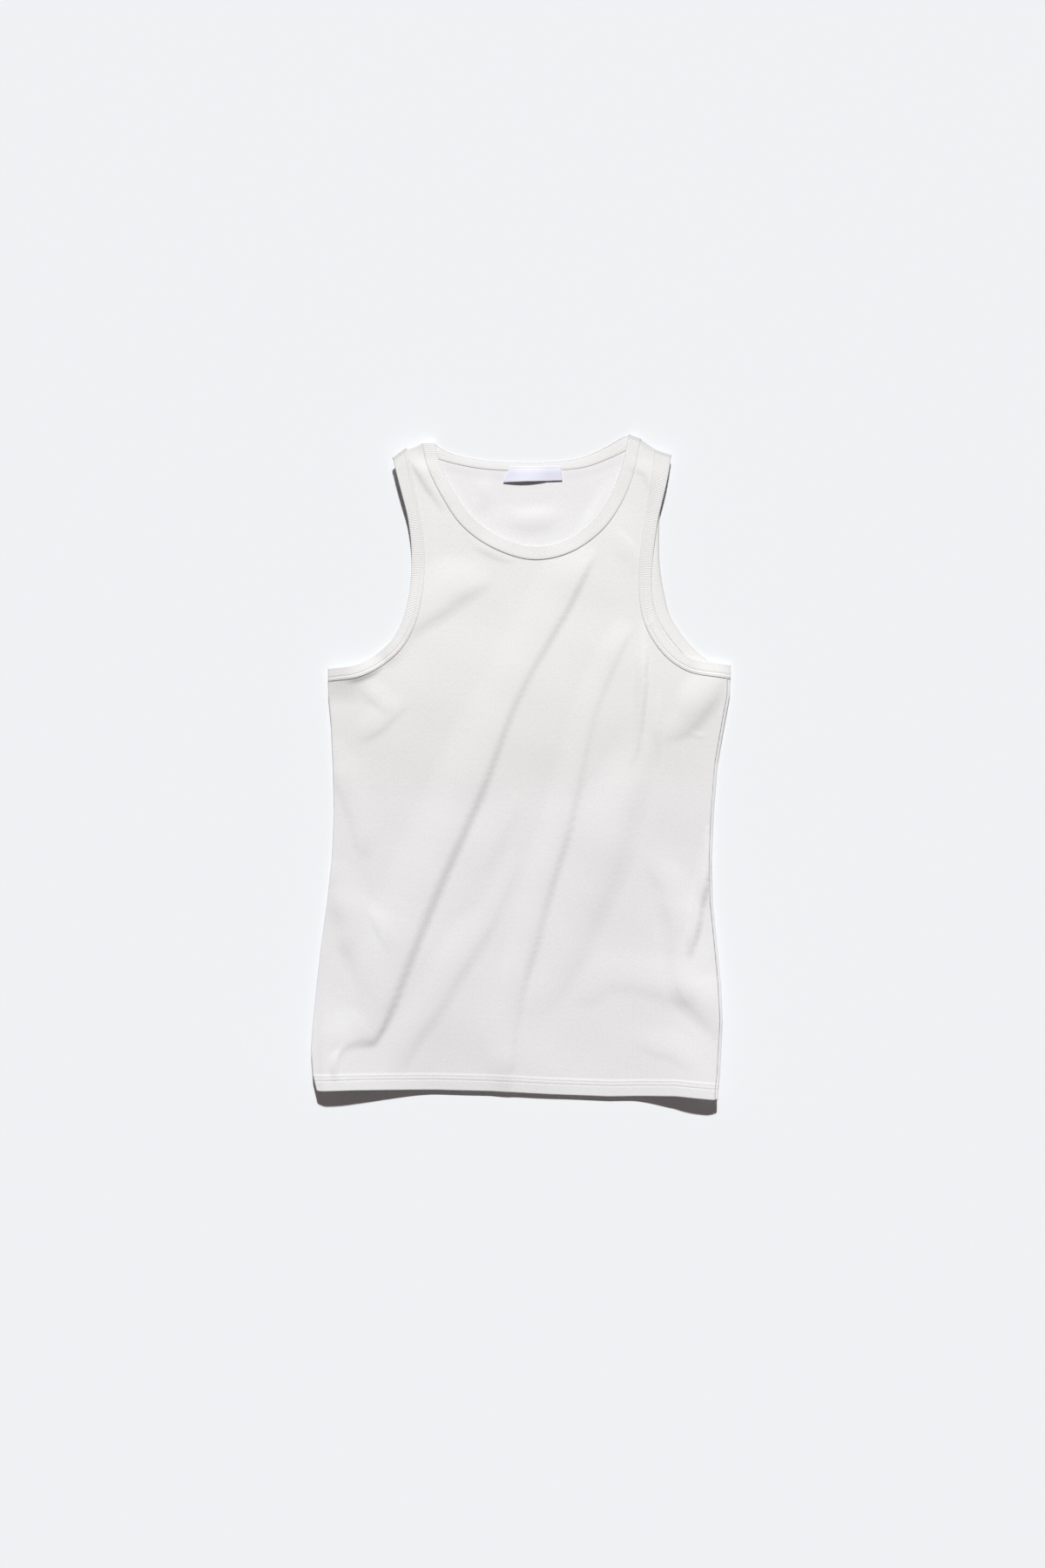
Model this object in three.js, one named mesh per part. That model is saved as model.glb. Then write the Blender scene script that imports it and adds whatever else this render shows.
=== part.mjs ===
// Ribbed cotton tank top, laid flat with its front uppermost: a front and a back panel, a bound neckline, two
// bound armholes, a turned hem and a woven label inside the back neck.
// Millimetres. +X is to the right and +Y towards the shoulders, as seen from above, and +Z is up from the
// surface that it lies on. The origin is on that surface, under the middle of the garment.
import * as THREE from "three";

// Driving dimensions of the cloth
const CLOTH = 1.2; // wall of a panel
const AIR = 1.7; // between the panels where the garment lies flattest
const SEAM_GAP = 0.3; // between two pieces that are sewn together
const TURN = 1.6; // how far the cloth bows out where it turns over at a side or a shoulder
const HEM_DEPTH = 14;
const HEM_PLY = 0.8; // thickness that the turned-up ply adds inside
const HEM_RISE = 0.5; // how much the turned-up plies lift the front
const BINDING_WIDTH = 14;
const BINDING_WALL = 2.2;
const SIDE_SEAM_INSET = 1.3; // the right side seam lies this far inside the turn, on the front
const SHOULDER_SEAM = 0.62 * Math.PI; // angle round the turn from the front to the shoulder seam
const SHOULDER_PUFF = 1.2;
const BACK_NECK_RISE = 0.6; // the back panel stands this high off the surface under the neck seam
const BACK_NECK_DEPTH = 9.5; // width of the back neck's binding where it lies flat

// Driving dimensions of the label
const LABEL_WALL = 1;
const LABEL_TOP_WIDTH = 55;
const LABEL_FOOT_WIDTH = 61;
const LABEL_DEPTH = 15.5;
const LABEL_MIDDLE = 12.5; // its place along X
const LABEL_TOP = 309.3; // its upper end along Y
const LABEL_LEAN = 1.5; // how far its foot is pulled to the left, and its left end down
const LABEL_ARCH = 1.8; // how high its foot arches
const LABEL_ARCH_SPAN = 0.75; // share of its width that arches
const LABEL_STEP = 0.2; // its upper end lies this much lower, on the slope of the binding

// Heights of the middle of each wall above the surface, where the garment lies flattest
const BACK_LEVEL = CLOTH / 2;
const FRONT_LEVEL = CLOTH + AIR + CLOTH / 2;
const BACK_BINDING_LIFT = (BINDING_WALL - CLOTH) / 2;
const FRONT_BINDING_LIFT = 0.2;

// Quads along each stretch of a panel and of its bindings
const FRONT_MESH = { pit: 8, strap: 5, neck: 16, chest: 8, strapLength: 8, body: 23 };
const BACK_MESH = { pit: 6, strap: 3, neck: 14, chest: 9, strapLength: 3, body: 23 };
const TURN_STEPS = 6;
const BLEND_SHARE = 0.3; // part of a free edge over which it is drawn to its end

// Outline from the hem to the armpits: where the cloth ends on each side, at each height
const SIDES = [
  { y: -334, left: -210, right: 203.5 },
  { y: -318, left: -214.2, right: 205.5 },
  { y: -292, left: -216.3, right: 207 },
  { y: -262, left: -214, right: 208.6 },
  { y: -225, left: -210.4, right: 206.8 },
  { y: -185, left: -206, right: 203.2 },
  { y: -140, left: -200, right: 198.8 },
  { y: -95, left: -195.1, right: 197.8 },
  { y: -45, left: -193, right: 200 },
  { y: 4, left: -194.2, right: 204 },
  { y: 45, left: -196.2, right: 211.2 },
  { y: 74, left: -198.8, right: 216.5 },
  { y: 89, left: -198.3, right: 216.7 },
];

// Lower edge of the hem, from left to right
const HEM_LINE = [
  { x: -210, y: -334.4 },
  { x: -170, y: -333.4 },
  { x: -88, y: -333.6 },
  { x: -30, y: -335 },
  { x: 30, y: -338.2 },
  { x: 92, y: -340.4 },
  { x: 160, y: -339.4 },
  { x: 203.5, y: -343.4 },
];

// Where each line of the garment turns over a shoulder, and which way the turn faces
const LEFT_SHOULDER = {
  neckFree: { x: -88.1, y: 332.9, out: [0.05, 1] },
  neckSeam: { x: -102, y: 332, out: [-0.15, 0.99] },
  armSeam: { x: -116.6, y: 326.9, out: [-0.45, 0.89] },
  armFree: { x: -131, y: 315.4, out: [-0.62, 0.78] },
};
const RIGHT_SHOULDER = {
  neckFree: { x: 111.2, y: 341.1, out: [0.26, 0.97] },
  neckSeam: { x: 124.1, y: 335.9, out: [0.5, 0.87] },
  armSeam: { x: 137.6, y: 325.1, out: [0.5, 0.87] },
  armFree: { x: 155.1, y: 318.7, out: [0.31, 0.95] },
};

// Seam of the front neckline, from the left shoulder to the right one
const FRONT_NECK = [
  { x: -102, y: 332 },
  { x: -97, y: 310 },
  { x: -83.5, y: 281.3 },
  { x: -61, y: 248 },
  { x: -28.6, y: 224.6 },
  { x: 12.8, y: 212.4 },
  { x: 51.5, y: 220 },
  { x: 85.7, y: 244.4 },
  { x: 107.3, y: 276.8 },
  { x: 119, y: 309.2 },
  { x: 124.1, y: 335.9 },
];

// Back neckline, from the left shoulder to the right one: its free edge and its seam
const BACK_NECK = [
  { freeX: -88.1, freeY: 332.9, seamX: -102, seamY: 332 },
  { freeX: -84.5, freeY: 329.6, seamX: -97.5, seamY: 323.5 },
  { freeX: -77, freeY: 325.2, seamX: -88, seamY: 317.6 },
  { freeX: -62, freeY: 320.2, seamX: -69, seamY: 311.8 },
  { freeX: -34, freeY: 315.2, seamX: -36, seamY: 305.8 },
  { freeX: 2, freeY: 313.7, seamX: 2, seamY: 304.2 },
  { freeX: 38, freeY: 314.6, seamX: 38, seamY: 304.7 },
  { freeX: 64, freeY: 319, seamX: 67, seamY: 308 },
  { freeX: 85, freeY: 328, seamX: 92, seamY: 317 },
  { freeX: 99, freeY: 336, seamX: 107, seamY: 324 },
  { freeX: 107, freeY: 340.3, seamX: 118, seamY: 330 },
  { freeX: 111.2, freeY: 341.1, seamX: 124.1, seamY: 335.9 },
];

// Armhole seams, from the armpit to the shoulder
const LEFT_ARM_FRONT = [
  { x: -196.1, y: 87 },
  { x: -166, y: 91.5 },
  { x: -140, y: 105 },
  { x: -121, y: 123 },
  { x: -108.2, y: 147 },
  { x: -100.4, y: 180 },
  { x: -98.5, y: 220 },
  { x: -101.8, y: 254 },
  { x: -109, y: 290 },
  { x: -116.6, y: 326.9 },
];
const LEFT_ARM_BACK = [
  { x: -196.1, y: 87 },
  { x: -165, y: 92 },
  { x: -139, y: 106 },
  { x: -119.6, y: 124 },
  { x: -106.6, y: 147 },
  { x: -98.9, y: 180 },
  { x: -97, y: 220 },
  { x: -100.3, y: 254 },
  { x: -107.6, y: 290 },
  { x: -116.6, y: 326.9 },
];
const RIGHT_ARM_FRONT = [
  { x: 214.5, y: 89.6 },
  { x: 174, y: 96.8 },
  { x: 152, y: 110.5 },
  { x: 136, y: 130 },
  { x: 126.2, y: 151 },
  { x: 121.8, y: 178 },
  { x: 122.3, y: 212 },
  { x: 126.5, y: 247 },
  { x: 133, y: 288 },
  { x: 137.6, y: 325.1 },
];
const RIGHT_ARM_BACK = [
  { x: 214.5, y: 89.6 },
  { x: 189, y: 98 },
  { x: 168, y: 114.8 },
  { x: 152.8, y: 132.5 },
  { x: 141.5, y: 151 },
  { x: 134.5, y: 177 },
  { x: 130, y: 205 },
  { x: 129, y: 233 },
  { x: 130, y: 262 },
  { x: 134.5, y: 297 },
  { x: 137.6, y: 325.1 },
];

// Shares of a seam's length at which its stretches end: armpit, chest and strap, or strap, neck and strap
const FRONT_ARM_SHARES = { pit: 0.3, chest: 0.63 };
const BACK_ARM_SHARES = { pit: 0.3, chest: 0.9 };
const FRONT_NECK_SHARES = { strap: 0.27, neck: 0.72 };
const BACK_NECK_SHARES = { strap: 0.18, neck: 0.84 };

// Folds of the front: the way of each steep side, with the height of the crest beside it, and how far the
// fold reaches from its crest on the steep side, which is to the left of the way, and on the gentle side
const FOLDS = [
  { name: "long diagonal", steep: 18, gentle: 55,
    line: [[76, 215, 0], [66.8, 198, 2.6], [48.8, 162, 3.4], [28.1, 126, 2.6],
    [7.4, 90, 1.8], [-9.7, 54, 2.2], [-23.2, 18, 3], [-36.7, -18.5, 3.6],
    [-52, -54.5, 4], [-84.4, -126.5, 4.6], [-113.2, -198.5, 4.8],
    [-133.9, -252.5, 4.8], [-143, -272, 3], [-152, -288, 0]] },
  { name: "hook at its foot", steep: 16, gentle: 40,
    line: [[-134, -262, 0], [-143, -273.5, 1.6], [-152, -284, 2.6], [-169, -286, 2.2],
    [-179, -290, 1], [-186, -296, 0]] },
  { name: "second diagonal", steep: 14, gentle: 30,
    line: [[118, 145, 0], [107.3, 126, 0.9], [91.1, 90, 1.1], [77.6, 54, 1.1],
    [68.6, 18, 1.4], [61, -18.5, 2], [48.8, -72.5, 2.8], [37.1, -108.5, 2.9],
    [26.3, -144.5, 2.5], [17.3, -180.5, 2.3], [6.5, -216.5, 2.4], [-1.6, -252.5, 1.5],
    [-6.5, -285, 1.3], [-8.8, -306.5, 1.8], [-9.5, -322, 1.2], [-10, -345, 0]] },
  { name: "low diagonal", steep: 18, gentle: 30,
    line: [[0, -95, 0], [-12.4, -126.5, 0.9], [-27.7, -162.5, 1.1], [-38.5, -180.5, 1.4],
    [-61.9, -216.5, 1.8], [-83.5, -252.5, 2], [-108.7, -288.5, 2.2],
    [-116.8, -306.5, 1], [-122, -320, 0]] },
  { name: "waist fold west", steep: 34, gentle: 45,
    line: [[136, 30, 0], [129, 0, 2.4], [124.4, -18.5, 3.6], [113.6, -54.5, 4],
    [104.6, -90.5, 3.8], [92.9, -126.5, 3], [76.7, -162.5, 2], [61.4, -198.5, 1.4],
    [50, -220, 0]] },
  { name: "waist fold east", steep: 22, gentle: 36,
    line: [[205, -284, 0], [193.7, -270.5, 1.2], [180.2, -252.5, 2.8], [170, -241, 3.4],
    [164, -228, 3.2], [160, -212, 2.6], [157.7, -198.5, 2.2], [155, -180.5, 2],
    [153.2, -162.5, 2.5], [147.8, -144.5, 2.4], [144.2, -126.5, 2], [134.3, -108.5, 1],
    [128, -90, 0]] },
  { name: "hip shelf", steep: 26, gentle: 40,
    line: [[176, -244, 0], [165, -242.5, 1], [155, -241.5, 1.4], [141.5, -236, 1],
    [110, -229, 0.8], [92, -230, 0.9], [74, -241.6, 1], [52, -246, 0]] },
  { name: "right armpit fold", steep: 22, gentle: 30,
    line: [[213.5, 98, 0.8], [209.9, 89.6, 2.6], [202.7, 71.6, 3], [189.2, 53.6, 3],
    [177, 39, 1.2], [162.2, 17.6, 1.1], [156, 4, 0]] },
  { name: "right edge crease", steep: 10, gentle: 10,
    line: [[196.5, -70, 0.4], [196, -98.5, 2], [191.9, -126.5, 3.4], [187.4, -144.5, 3],
    [184.7, -162.5, 2.8], [180.2, -180.5, 2.2], [177, -196, 0]] },
  { name: "left waist fold", steep: 14, gentle: 30,
    line: [[-164, -95, 0], [-169, -82, 0.9], [-176, -54.5, 1], [-182.5, -36.5, 1.4],
    [-190, -18, 1.8], [-192.5, -9.5, 1.9], [-196, 4, 0.8]] },
  { name: "left hip fold", steep: 24, gentle: 36,
    line: [[-163, -235, 0], [-169, -216.5, 1], [-175, -198.5, 1.8], [-183.4, -180.5, 2.2],
    [-186, -162.5, 2], [-192.4, -144.5, 1.6], [-196, -125, 0.6]] },
  { name: "chest fold", steep: 22, gentle: 45,
    line: [[-26, 192, 0], [-38.5, 184, 0.8], [-61, 171.5, 1.7], [-79, 158, 1.8],
    [-97, 147, 1.9], [-115, 132.8, 1.4], [-128.5, 114.8, 1.8], [-136, 102, 0]] },
  { name: "armhole drop", steep: 7, gentle: 12,
    line: [[129, 140, 0], [129.6, 118, 1], [129.8, 100, 1.3], [128.9, 71.6, 1.5],
    [127.1, 53.6, 1.5], [121.7, 17.6, 0.7], [116, 0, 0]] },
  { name: "left armpit puff", steep: 10, gentle: 20,
    line: [[-138, 106, 0], [-146.5, 99, 1.4], [-155, 94, 2], [-169, 88.7, 1.6],
    [-180, 86, 0]] },
  { name: "left strap fold", steep: 11, gentle: 16,
    line: [[-80, 262, 0], [-90, 277, 1], [-98, 288, 1.5], [-105.8, 301, 1.7],
    [-112.5, 311, 0.8], [-117, 319, 0]] },
  { name: "storage crease", steep: 110, gentle: 110,
    line: [[200, 28.4, 1], [92, 15.8, 1.8], [2, 12.2, 2],
    [-106, 11.3, 1.8], [-194, 10.4, 1]] },
];

// Corners of the hem, outer edges of the straps and the left armpit, which stand up off the surface: where the
// lift starts and is full along X and along Y, its height, and where and by how much it drops again at its tip
const LIFTS = [
  { start: -85, full: -195, foot: -110, head: -336, height: 10.5, tipStart: -200, tipEnd: -212, tipDrop: 0.3 },
  { start: 110, full: 185, foot: -130, head: -336, height: 10.5, tipStart: 192, tipEnd: 204, tipDrop: 0.2 },
  { start: -84, full: -128, foot: 205, head: 318, height: 7.5, tipStart: -125, tipEnd: -131, tipDrop: 0 },
  { start: 108, full: 155, foot: 205, head: 318, height: 5.2, tipStart: 150, tipEnd: 156, tipDrop: 0 },
  { start: -148, full: -182, foot: 66, head: 92, height: 4, tipStart: -190, tipEnd: -198, tipDrop: 0.1 },
];
const LIFT_LIMIT = 1.2; // the lift goes on growing to this share past its head

const WHITE_COTTON = { color: 0xecebe8, roughness: 0.95, metalness: 0 };
const LABEL_SATIN = { color: 0xeeeff9, roughness: 0.6, metalness: 0 };

const mix = (a, b, share) => a + (b - a) * share;
const clamp = THREE.MathUtils.clamp;
const ease = (share) => THREE.MathUtils.smoothstep(share, 0, 1);
const UP = new THREE.Vector3(0, 0, 1);

// A smooth curve through a table of places in the plane of the surface.
function curveOf(rows) {
  return new THREE.CatmullRomCurve3(rows.map(({ x, y }) => new THREE.Vector3(x, y, 0)), false, "centripetal");
}

// The value of one column of a table at a height between its rows.
function columnAt(rows, by, column, value) {
  const last = rows.length - 1;
  const after = clamp(rows.findIndex((row) => row[by] >= value), 1, last);
  const index = value > rows[last][by] ? last : after;
  const low = rows[index - 1];
  const high = rows[index];
  return mix(low[column], high[column], clamp((value - low[by]) / (high[by] - low[by]), 0, 1));
}

const hemY = (x) => columnAt(HEM_LINE, "x", "y", x);

// Height that one fold adds at a place: it falls away from the crest on both sides, and the line in its table
// runs down the middle of the steep side.
function foldRise(fold, x, y) {
  let nearest = fold.steep + fold.gentle;
  let rise = 0;
  for (let i = 1; i < fold.line.length; i++) {
    const [ax, ay, ah] = fold.line[i - 1];
    const [bx, by, bh] = fold.line[i];
    const alongX = bx - ax;
    const alongY = by - ay;
    const share = clamp(((x - ax) * alongX + (y - ay) * alongY) / (alongX ** 2 + alongY ** 2), 0, 1);
    const offX = x - mix(ax, bx, share);
    const offY = y - mix(ay, by, share);
    const distance = Math.hypot(offX, offY);
    if (distance >= nearest) continue;
    nearest = distance;
    const toTheLeft = Math.sign(alongX * offY - alongY * offX);
    const offset = toTheLeft * distance + fold.steep / 2;
    const reach = offset > 0 ? offset / fold.steep : -offset / fold.gentle;
    rise = reach < 1 ? mix(ah, bh, share) * (1 - reach ** 2) ** 2 : 0;
  }
  return rise;
}

// Height by which the corners and straps stand up, the same for both panels.
function liftAt(x, y) {
  return LIFTS.reduce((sum, lift) => {
    const along = clamp((y - lift.foot) / (lift.head - lift.foot), 0, LIFT_LIMIT);
    const curl = along ** 2 * (1.8 - 0.8 * along);
    const across = ease((x - lift.start) / (lift.full - lift.start));
    const tip = 1 - lift.tipDrop * ease((x - lift.tipStart) / (lift.tipEnd - lift.tipStart));
    return sum + lift.height * across * tip * curl;
  }, 0);
}

function frontHeight(x, y) {
  const folds = FOLDS.reduce((sum, fold) => sum + foldRise(fold, x, y), 0);
  const hem = HEM_RISE * ease((45 - (y - hemY(x))) / 30);
  const shoulder = SHOULDER_PUFF * ease((y - 285) / 40);
  return FRONT_LEVEL + folds + liftAt(x, y) + hem + shoulder;
}

function backHeight(x, y) {
  const inNeck = ease((x + 80) / 30) * ease((100 - x) / 30);
  const neck = BACK_NECK_RISE * inNeck * ease((y - 262) / 42);
  return BACK_LEVEL + liftAt(x, y) + neck;
}

// Points along a curve, evenly spaced within each stretch. ends holds the share of the curve at which each
// stretch but the last ends, and counts the steps in each.
function stations(curve, ends, counts) {
  const limits = [0, ...ends, 1];
  const points = [curve.getPointAt(0)];
  counts.forEach((count, stretch) => {
    for (let k = 1; k <= count; k++) {
      points.push(curve.getPointAt(mix(limits[stretch], limits[stretch + 1], k / count)));
    }
  });
  return points;
}

// The same curve moved sideways in its own plane, and drawn to a given place at each end.
function besideCurve(points, distance, first, last) {
  const moved = points.map((point, i) => {
    const before = points[Math.max(i - 1, 0)];
    const after = points[Math.min(i + 1, points.length - 1)];
    const along = after.clone().sub(before).normalize();
    return point.clone().add(new THREE.Vector3(-along.y, along.x, 0).multiplyScalar(distance));
  });
  const end = points.length - 1;
  const firstShift = first.clone().sub(moved[0]);
  const lastShift = last.clone().sub(moved[end]);
  return moved.map((point, i) => {
    const near = 1 - ease(i / (BLEND_SHARE * end));
    const far = 1 - ease((end - i) / (BLEND_SHARE * end));
    return point.addScaledVector(firstShift, near).addScaledVector(lastShift, far);
  });
}

// A grid of places filled in smoothly between four edges, from the bottom row up. Each edge is a list.
function fillBetween(bottom, top, left, right) {
  const columns = bottom.length - 1;
  const rows = left.length - 1;
  const across = bottom.map((point) => (point.x - bottom[0].x) / (bottom[columns].x - bottom[0].x));
  const length = (points, from, to) => {
    let sum = 0;
    for (let k = from + 1; k <= to; k++) sum += points[k].distanceTo(points[k - 1]);
    return sum;
  };
  return left.map((leftPoint, j) => {
    const leftShare = length(left, 0, j) / length(left, 0, rows);
    const rightShare = length(right, 0, j) / length(right, 0, rows);
    const v = mix(leftShare, rightShare, 0.5);
    return bottom.map((bottomPoint, i) => {
      const u = across[i];
      const place = new THREE.Vector3();
      place.addScaledVector(bottomPoint, 1 - v).addScaledVector(top[i], v);
      place.addScaledVector(leftPoint, 1 - u).addScaledVector(right[j], u);
      place.addScaledVector(bottom[0], -(1 - u) * (1 - v)).addScaledVector(bottom[columns], -u * (1 - v));
      place.addScaledVector(top[0], -(1 - u) * v).addScaledVector(top[columns], -u * v);
      return place;
    });
  });
}

const lineOf = (from, to, count) =>
  Array.from({ length: count + 1 }, (_, k) => from.clone().lerp(to, k / count));

// Points round the turn from the front to the back, between two angles: 0 is the front and PI the back. Each
// one faces straight out of the turn.
function turnPoints(front, back, out, from, to, steps) {
  const middle = front.clone().add(back).multiplyScalar(0.5);
  const half = front.clone().sub(back).multiplyScalar(0.5);
  const bow = new THREE.Vector3(out[0], out[1], 0).normalize().multiplyScalar(TURN);
  return Array.from({ length: steps + 1 }, (_, k) => {
    const angle = mix(from, to, k / steps);
    const point = middle.clone().addScaledVector(half, Math.cos(angle)).addScaledVector(bow, Math.sin(angle));
    const facing = half.clone().multiplyScalar(Math.cos(angle) / half.lengthSq());
    point.facing = facing.addScaledVector(bow, Math.sin(angle) / bow.lengthSq()).normalize();
    return point;
  });
}

// A closed wall made of grids of points in its middle. outer and inner are its reach from there on each side;
// a grid's point may carry its own share of them, and its own direction. Grids that share an edge become one
// wall.
function wallOf(grids, outer, inner, facing) {
  const places = [];
  const found = new Map();
  const triangles = [];
  const indexOf = (point) => {
    const key = [point.x, point.y, point.z].map((value) => Math.round(value * 1000)).join();
    if (!found.has(key)) {
      found.set(key, places.length);
      places.push(point);
    }
    return found.get(key);
  };
  const addTriangle = (a, b, c) => {
    if (a === b || b === c || c === a) return;
    triangles.push(facing > 0 ? [a, b, c] : [a, c, b]);
  };
  for (const grid of grids) {
    const indices = grid.map((row) => row.map(indexOf));
    for (let j = 1; j < indices.length; j++) {
      for (let i = 1; i < indices[j].length; i++) {
        const corners = [indices[j - 1][i - 1], indices[j - 1][i], indices[j][i], indices[j][i - 1]];
        addTriangle(corners[0], corners[1], corners[2]);
        addTriangle(corners[0], corners[2], corners[3]);
      }
    }
  }
  const normals = places.map(() => new THREE.Vector3());
  const edges = new Map();
  for (const [a, b, c] of triangles) {
    const ab = places[b].clone().sub(places[a]);
    const ac = places[c].clone().sub(places[a]);
    const normal = ab.cross(ac);
    for (const corner of [a, b, c]) normals[corner].add(normal);
    for (const [from, to] of [[a, b], [b, c], [c, a]]) edges.set(`${from},${to}`, [from, to]);
  }
  const positions = [];
  const layer = (reach, name) => places.forEach((place, k) => {
    const shift = reach * (place[name] ?? 1) + (place[`${name}Extra`] ?? 0) * Math.sign(reach);
    const point = place.clone().addScaledVector(place.facing ?? normals[k].clone().normalize(), shift);
    positions.push(point.x, point.y, point.z);
  });
  layer(outer, "outerShare");
  layer(-inner, "innerShare");
  const count = places.length;
  const index = [];
  for (const [a, b, c] of triangles) index.push(a, b, c, a + count, c + count, b + count);
  for (const [from, to] of edges.values()) {
    if (edges.has(`${to},${from}`)) continue;
    index.push(to, from, from + count, to, from + count, to + count);
  }
  const geometry = new THREE.BufferGeometry();
  geometry.setAttribute("position", new THREE.Float32BufferAttribute(positions, 3));
  geometry.setIndex(index);
  geometry.computeVertexNormals();
  return geometry;
}

// The places of one armhole's seam on one panel, and of its free edge.
function armhole(rows, shares, mesh, side, shoulder, pitFree, heightAt) {
  const seam = stations(curveOf(rows), [shares.pit, shares.chest], [mesh.pit, mesh.chest, mesh.strapLength]);
  const end = seam[seam.length - 1];
  const pitEdge = new THREE.Vector3(seam[0].x, pitFree, 0);
  const shoulderEdge = new THREE.Vector3(shoulder.armFree.x, shoulder.armFree.y, 0);
  const free = besideCurve(seam, side * BINDING_WIDTH, pitEdge, shoulderEdge);
  end.set(shoulder.armSeam.x, shoulder.armSeam.y, 0);
  return { seam, free, heightAt };
}

const PIT_FREE_LEFT = 100.4;
const PIT_FREE_RIGHT = 104.4;
const leftArmhole = (rows, shares, mesh, heightAt) =>
  armhole(rows, shares, mesh, 1, LEFT_SHOULDER, PIT_FREE_LEFT, heightAt);
const rightArmhole = (rows, shares, mesh, heightAt) =>
  armhole(rows, shares, mesh, -1, RIGHT_SHOULDER, PIT_FREE_RIGHT, heightAt);
const arms = {
  leftFront: leftArmhole(LEFT_ARM_FRONT, FRONT_ARM_SHARES, FRONT_MESH, frontHeight),
  leftBack: leftArmhole(LEFT_ARM_BACK, BACK_ARM_SHARES, BACK_MESH, backHeight),
  rightFront: rightArmhole(RIGHT_ARM_FRONT, FRONT_ARM_SHARES, FRONT_MESH, frontHeight),
  rightBack: rightArmhole(RIGHT_ARM_BACK, BACK_ARM_SHARES, BACK_MESH, backHeight),
};

// The places of the neckline's seam on the front panel, and of its free edge.
function frontNeck() {
  const { strapLength, neck } = FRONT_MESH;
  const shares = [FRONT_NECK_SHARES.strap, FRONT_NECK_SHARES.neck];
  const seam = stations(curveOf(FRONT_NECK), shares, [strapLength, neck, strapLength]);
  const first = new THREE.Vector3(LEFT_SHOULDER.neckFree.x, LEFT_SHOULDER.neckFree.y, 0);
  const last = new THREE.Vector3(RIGHT_SHOULDER.neckFree.x, RIGHT_SHOULDER.neckFree.y, 0);
  return { seam, free: besideCurve(seam, BINDING_WIDTH, first, last), heightAt: frontHeight };
}

// The back neckline's binding slopes from the raised seam down to its free edge.
function backNeckBindingHeight(x, y) {
  const depth = (columnAt(BACK_NECK, "freeX", "freeY", x) - y) / BACK_NECK_DEPTH;
  return mix(BACK_LEVEL + liftAt(x, y), backHeight(x, y), clamp(depth, 0, 1));
}

// The same on the back panel, where the table gives both edges side by side.
function backNeck() {
  const { strapLength, neck } = BACK_MESH;
  const limits = [0, BACK_NECK_SHARES.strap, BACK_NECK_SHARES.neck, 1];
  const shares = [0];
  [strapLength, neck, strapLength].forEach((count, stretch) => {
    for (let k = 1; k <= count; k++) shares.push(mix(limits[stretch], limits[stretch + 1], k / count));
  });
  const seamCurve = curveOf(BACK_NECK.map(({ seamX, seamY }) => ({ x: seamX, y: seamY })));
  const freeCurve = curveOf(BACK_NECK.map(({ freeX, freeY }) => ({ x: freeX, y: freeY })));
  return {
    seam: shares.map((share) => seamCurve.getPoint(share)),
    free: shares.map((share) => freeCurve.getPoint(share)),
    heightAt: backNeckBindingHeight,
  };
}

const necks = { front: frontNeck(), back: backNeck() };

// Shares of the body's height at which its rows lie: close together in the hem, even above it.
function bodyRows(rows) {
  const height = SIDES[SIDES.length - 1].y - SIDES[0].y;
  const hem = [0, HEM_DEPTH * 0.5, HEM_DEPTH - 1, HEM_DEPTH + 0.5].map((depth) => depth / height);
  const start = hem[hem.length - 1];
  const above = Array.from({ length: rows }, (_, k) => mix(start, 1, (k + 1) / rows));
  return [...hem, ...above];
}

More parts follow.
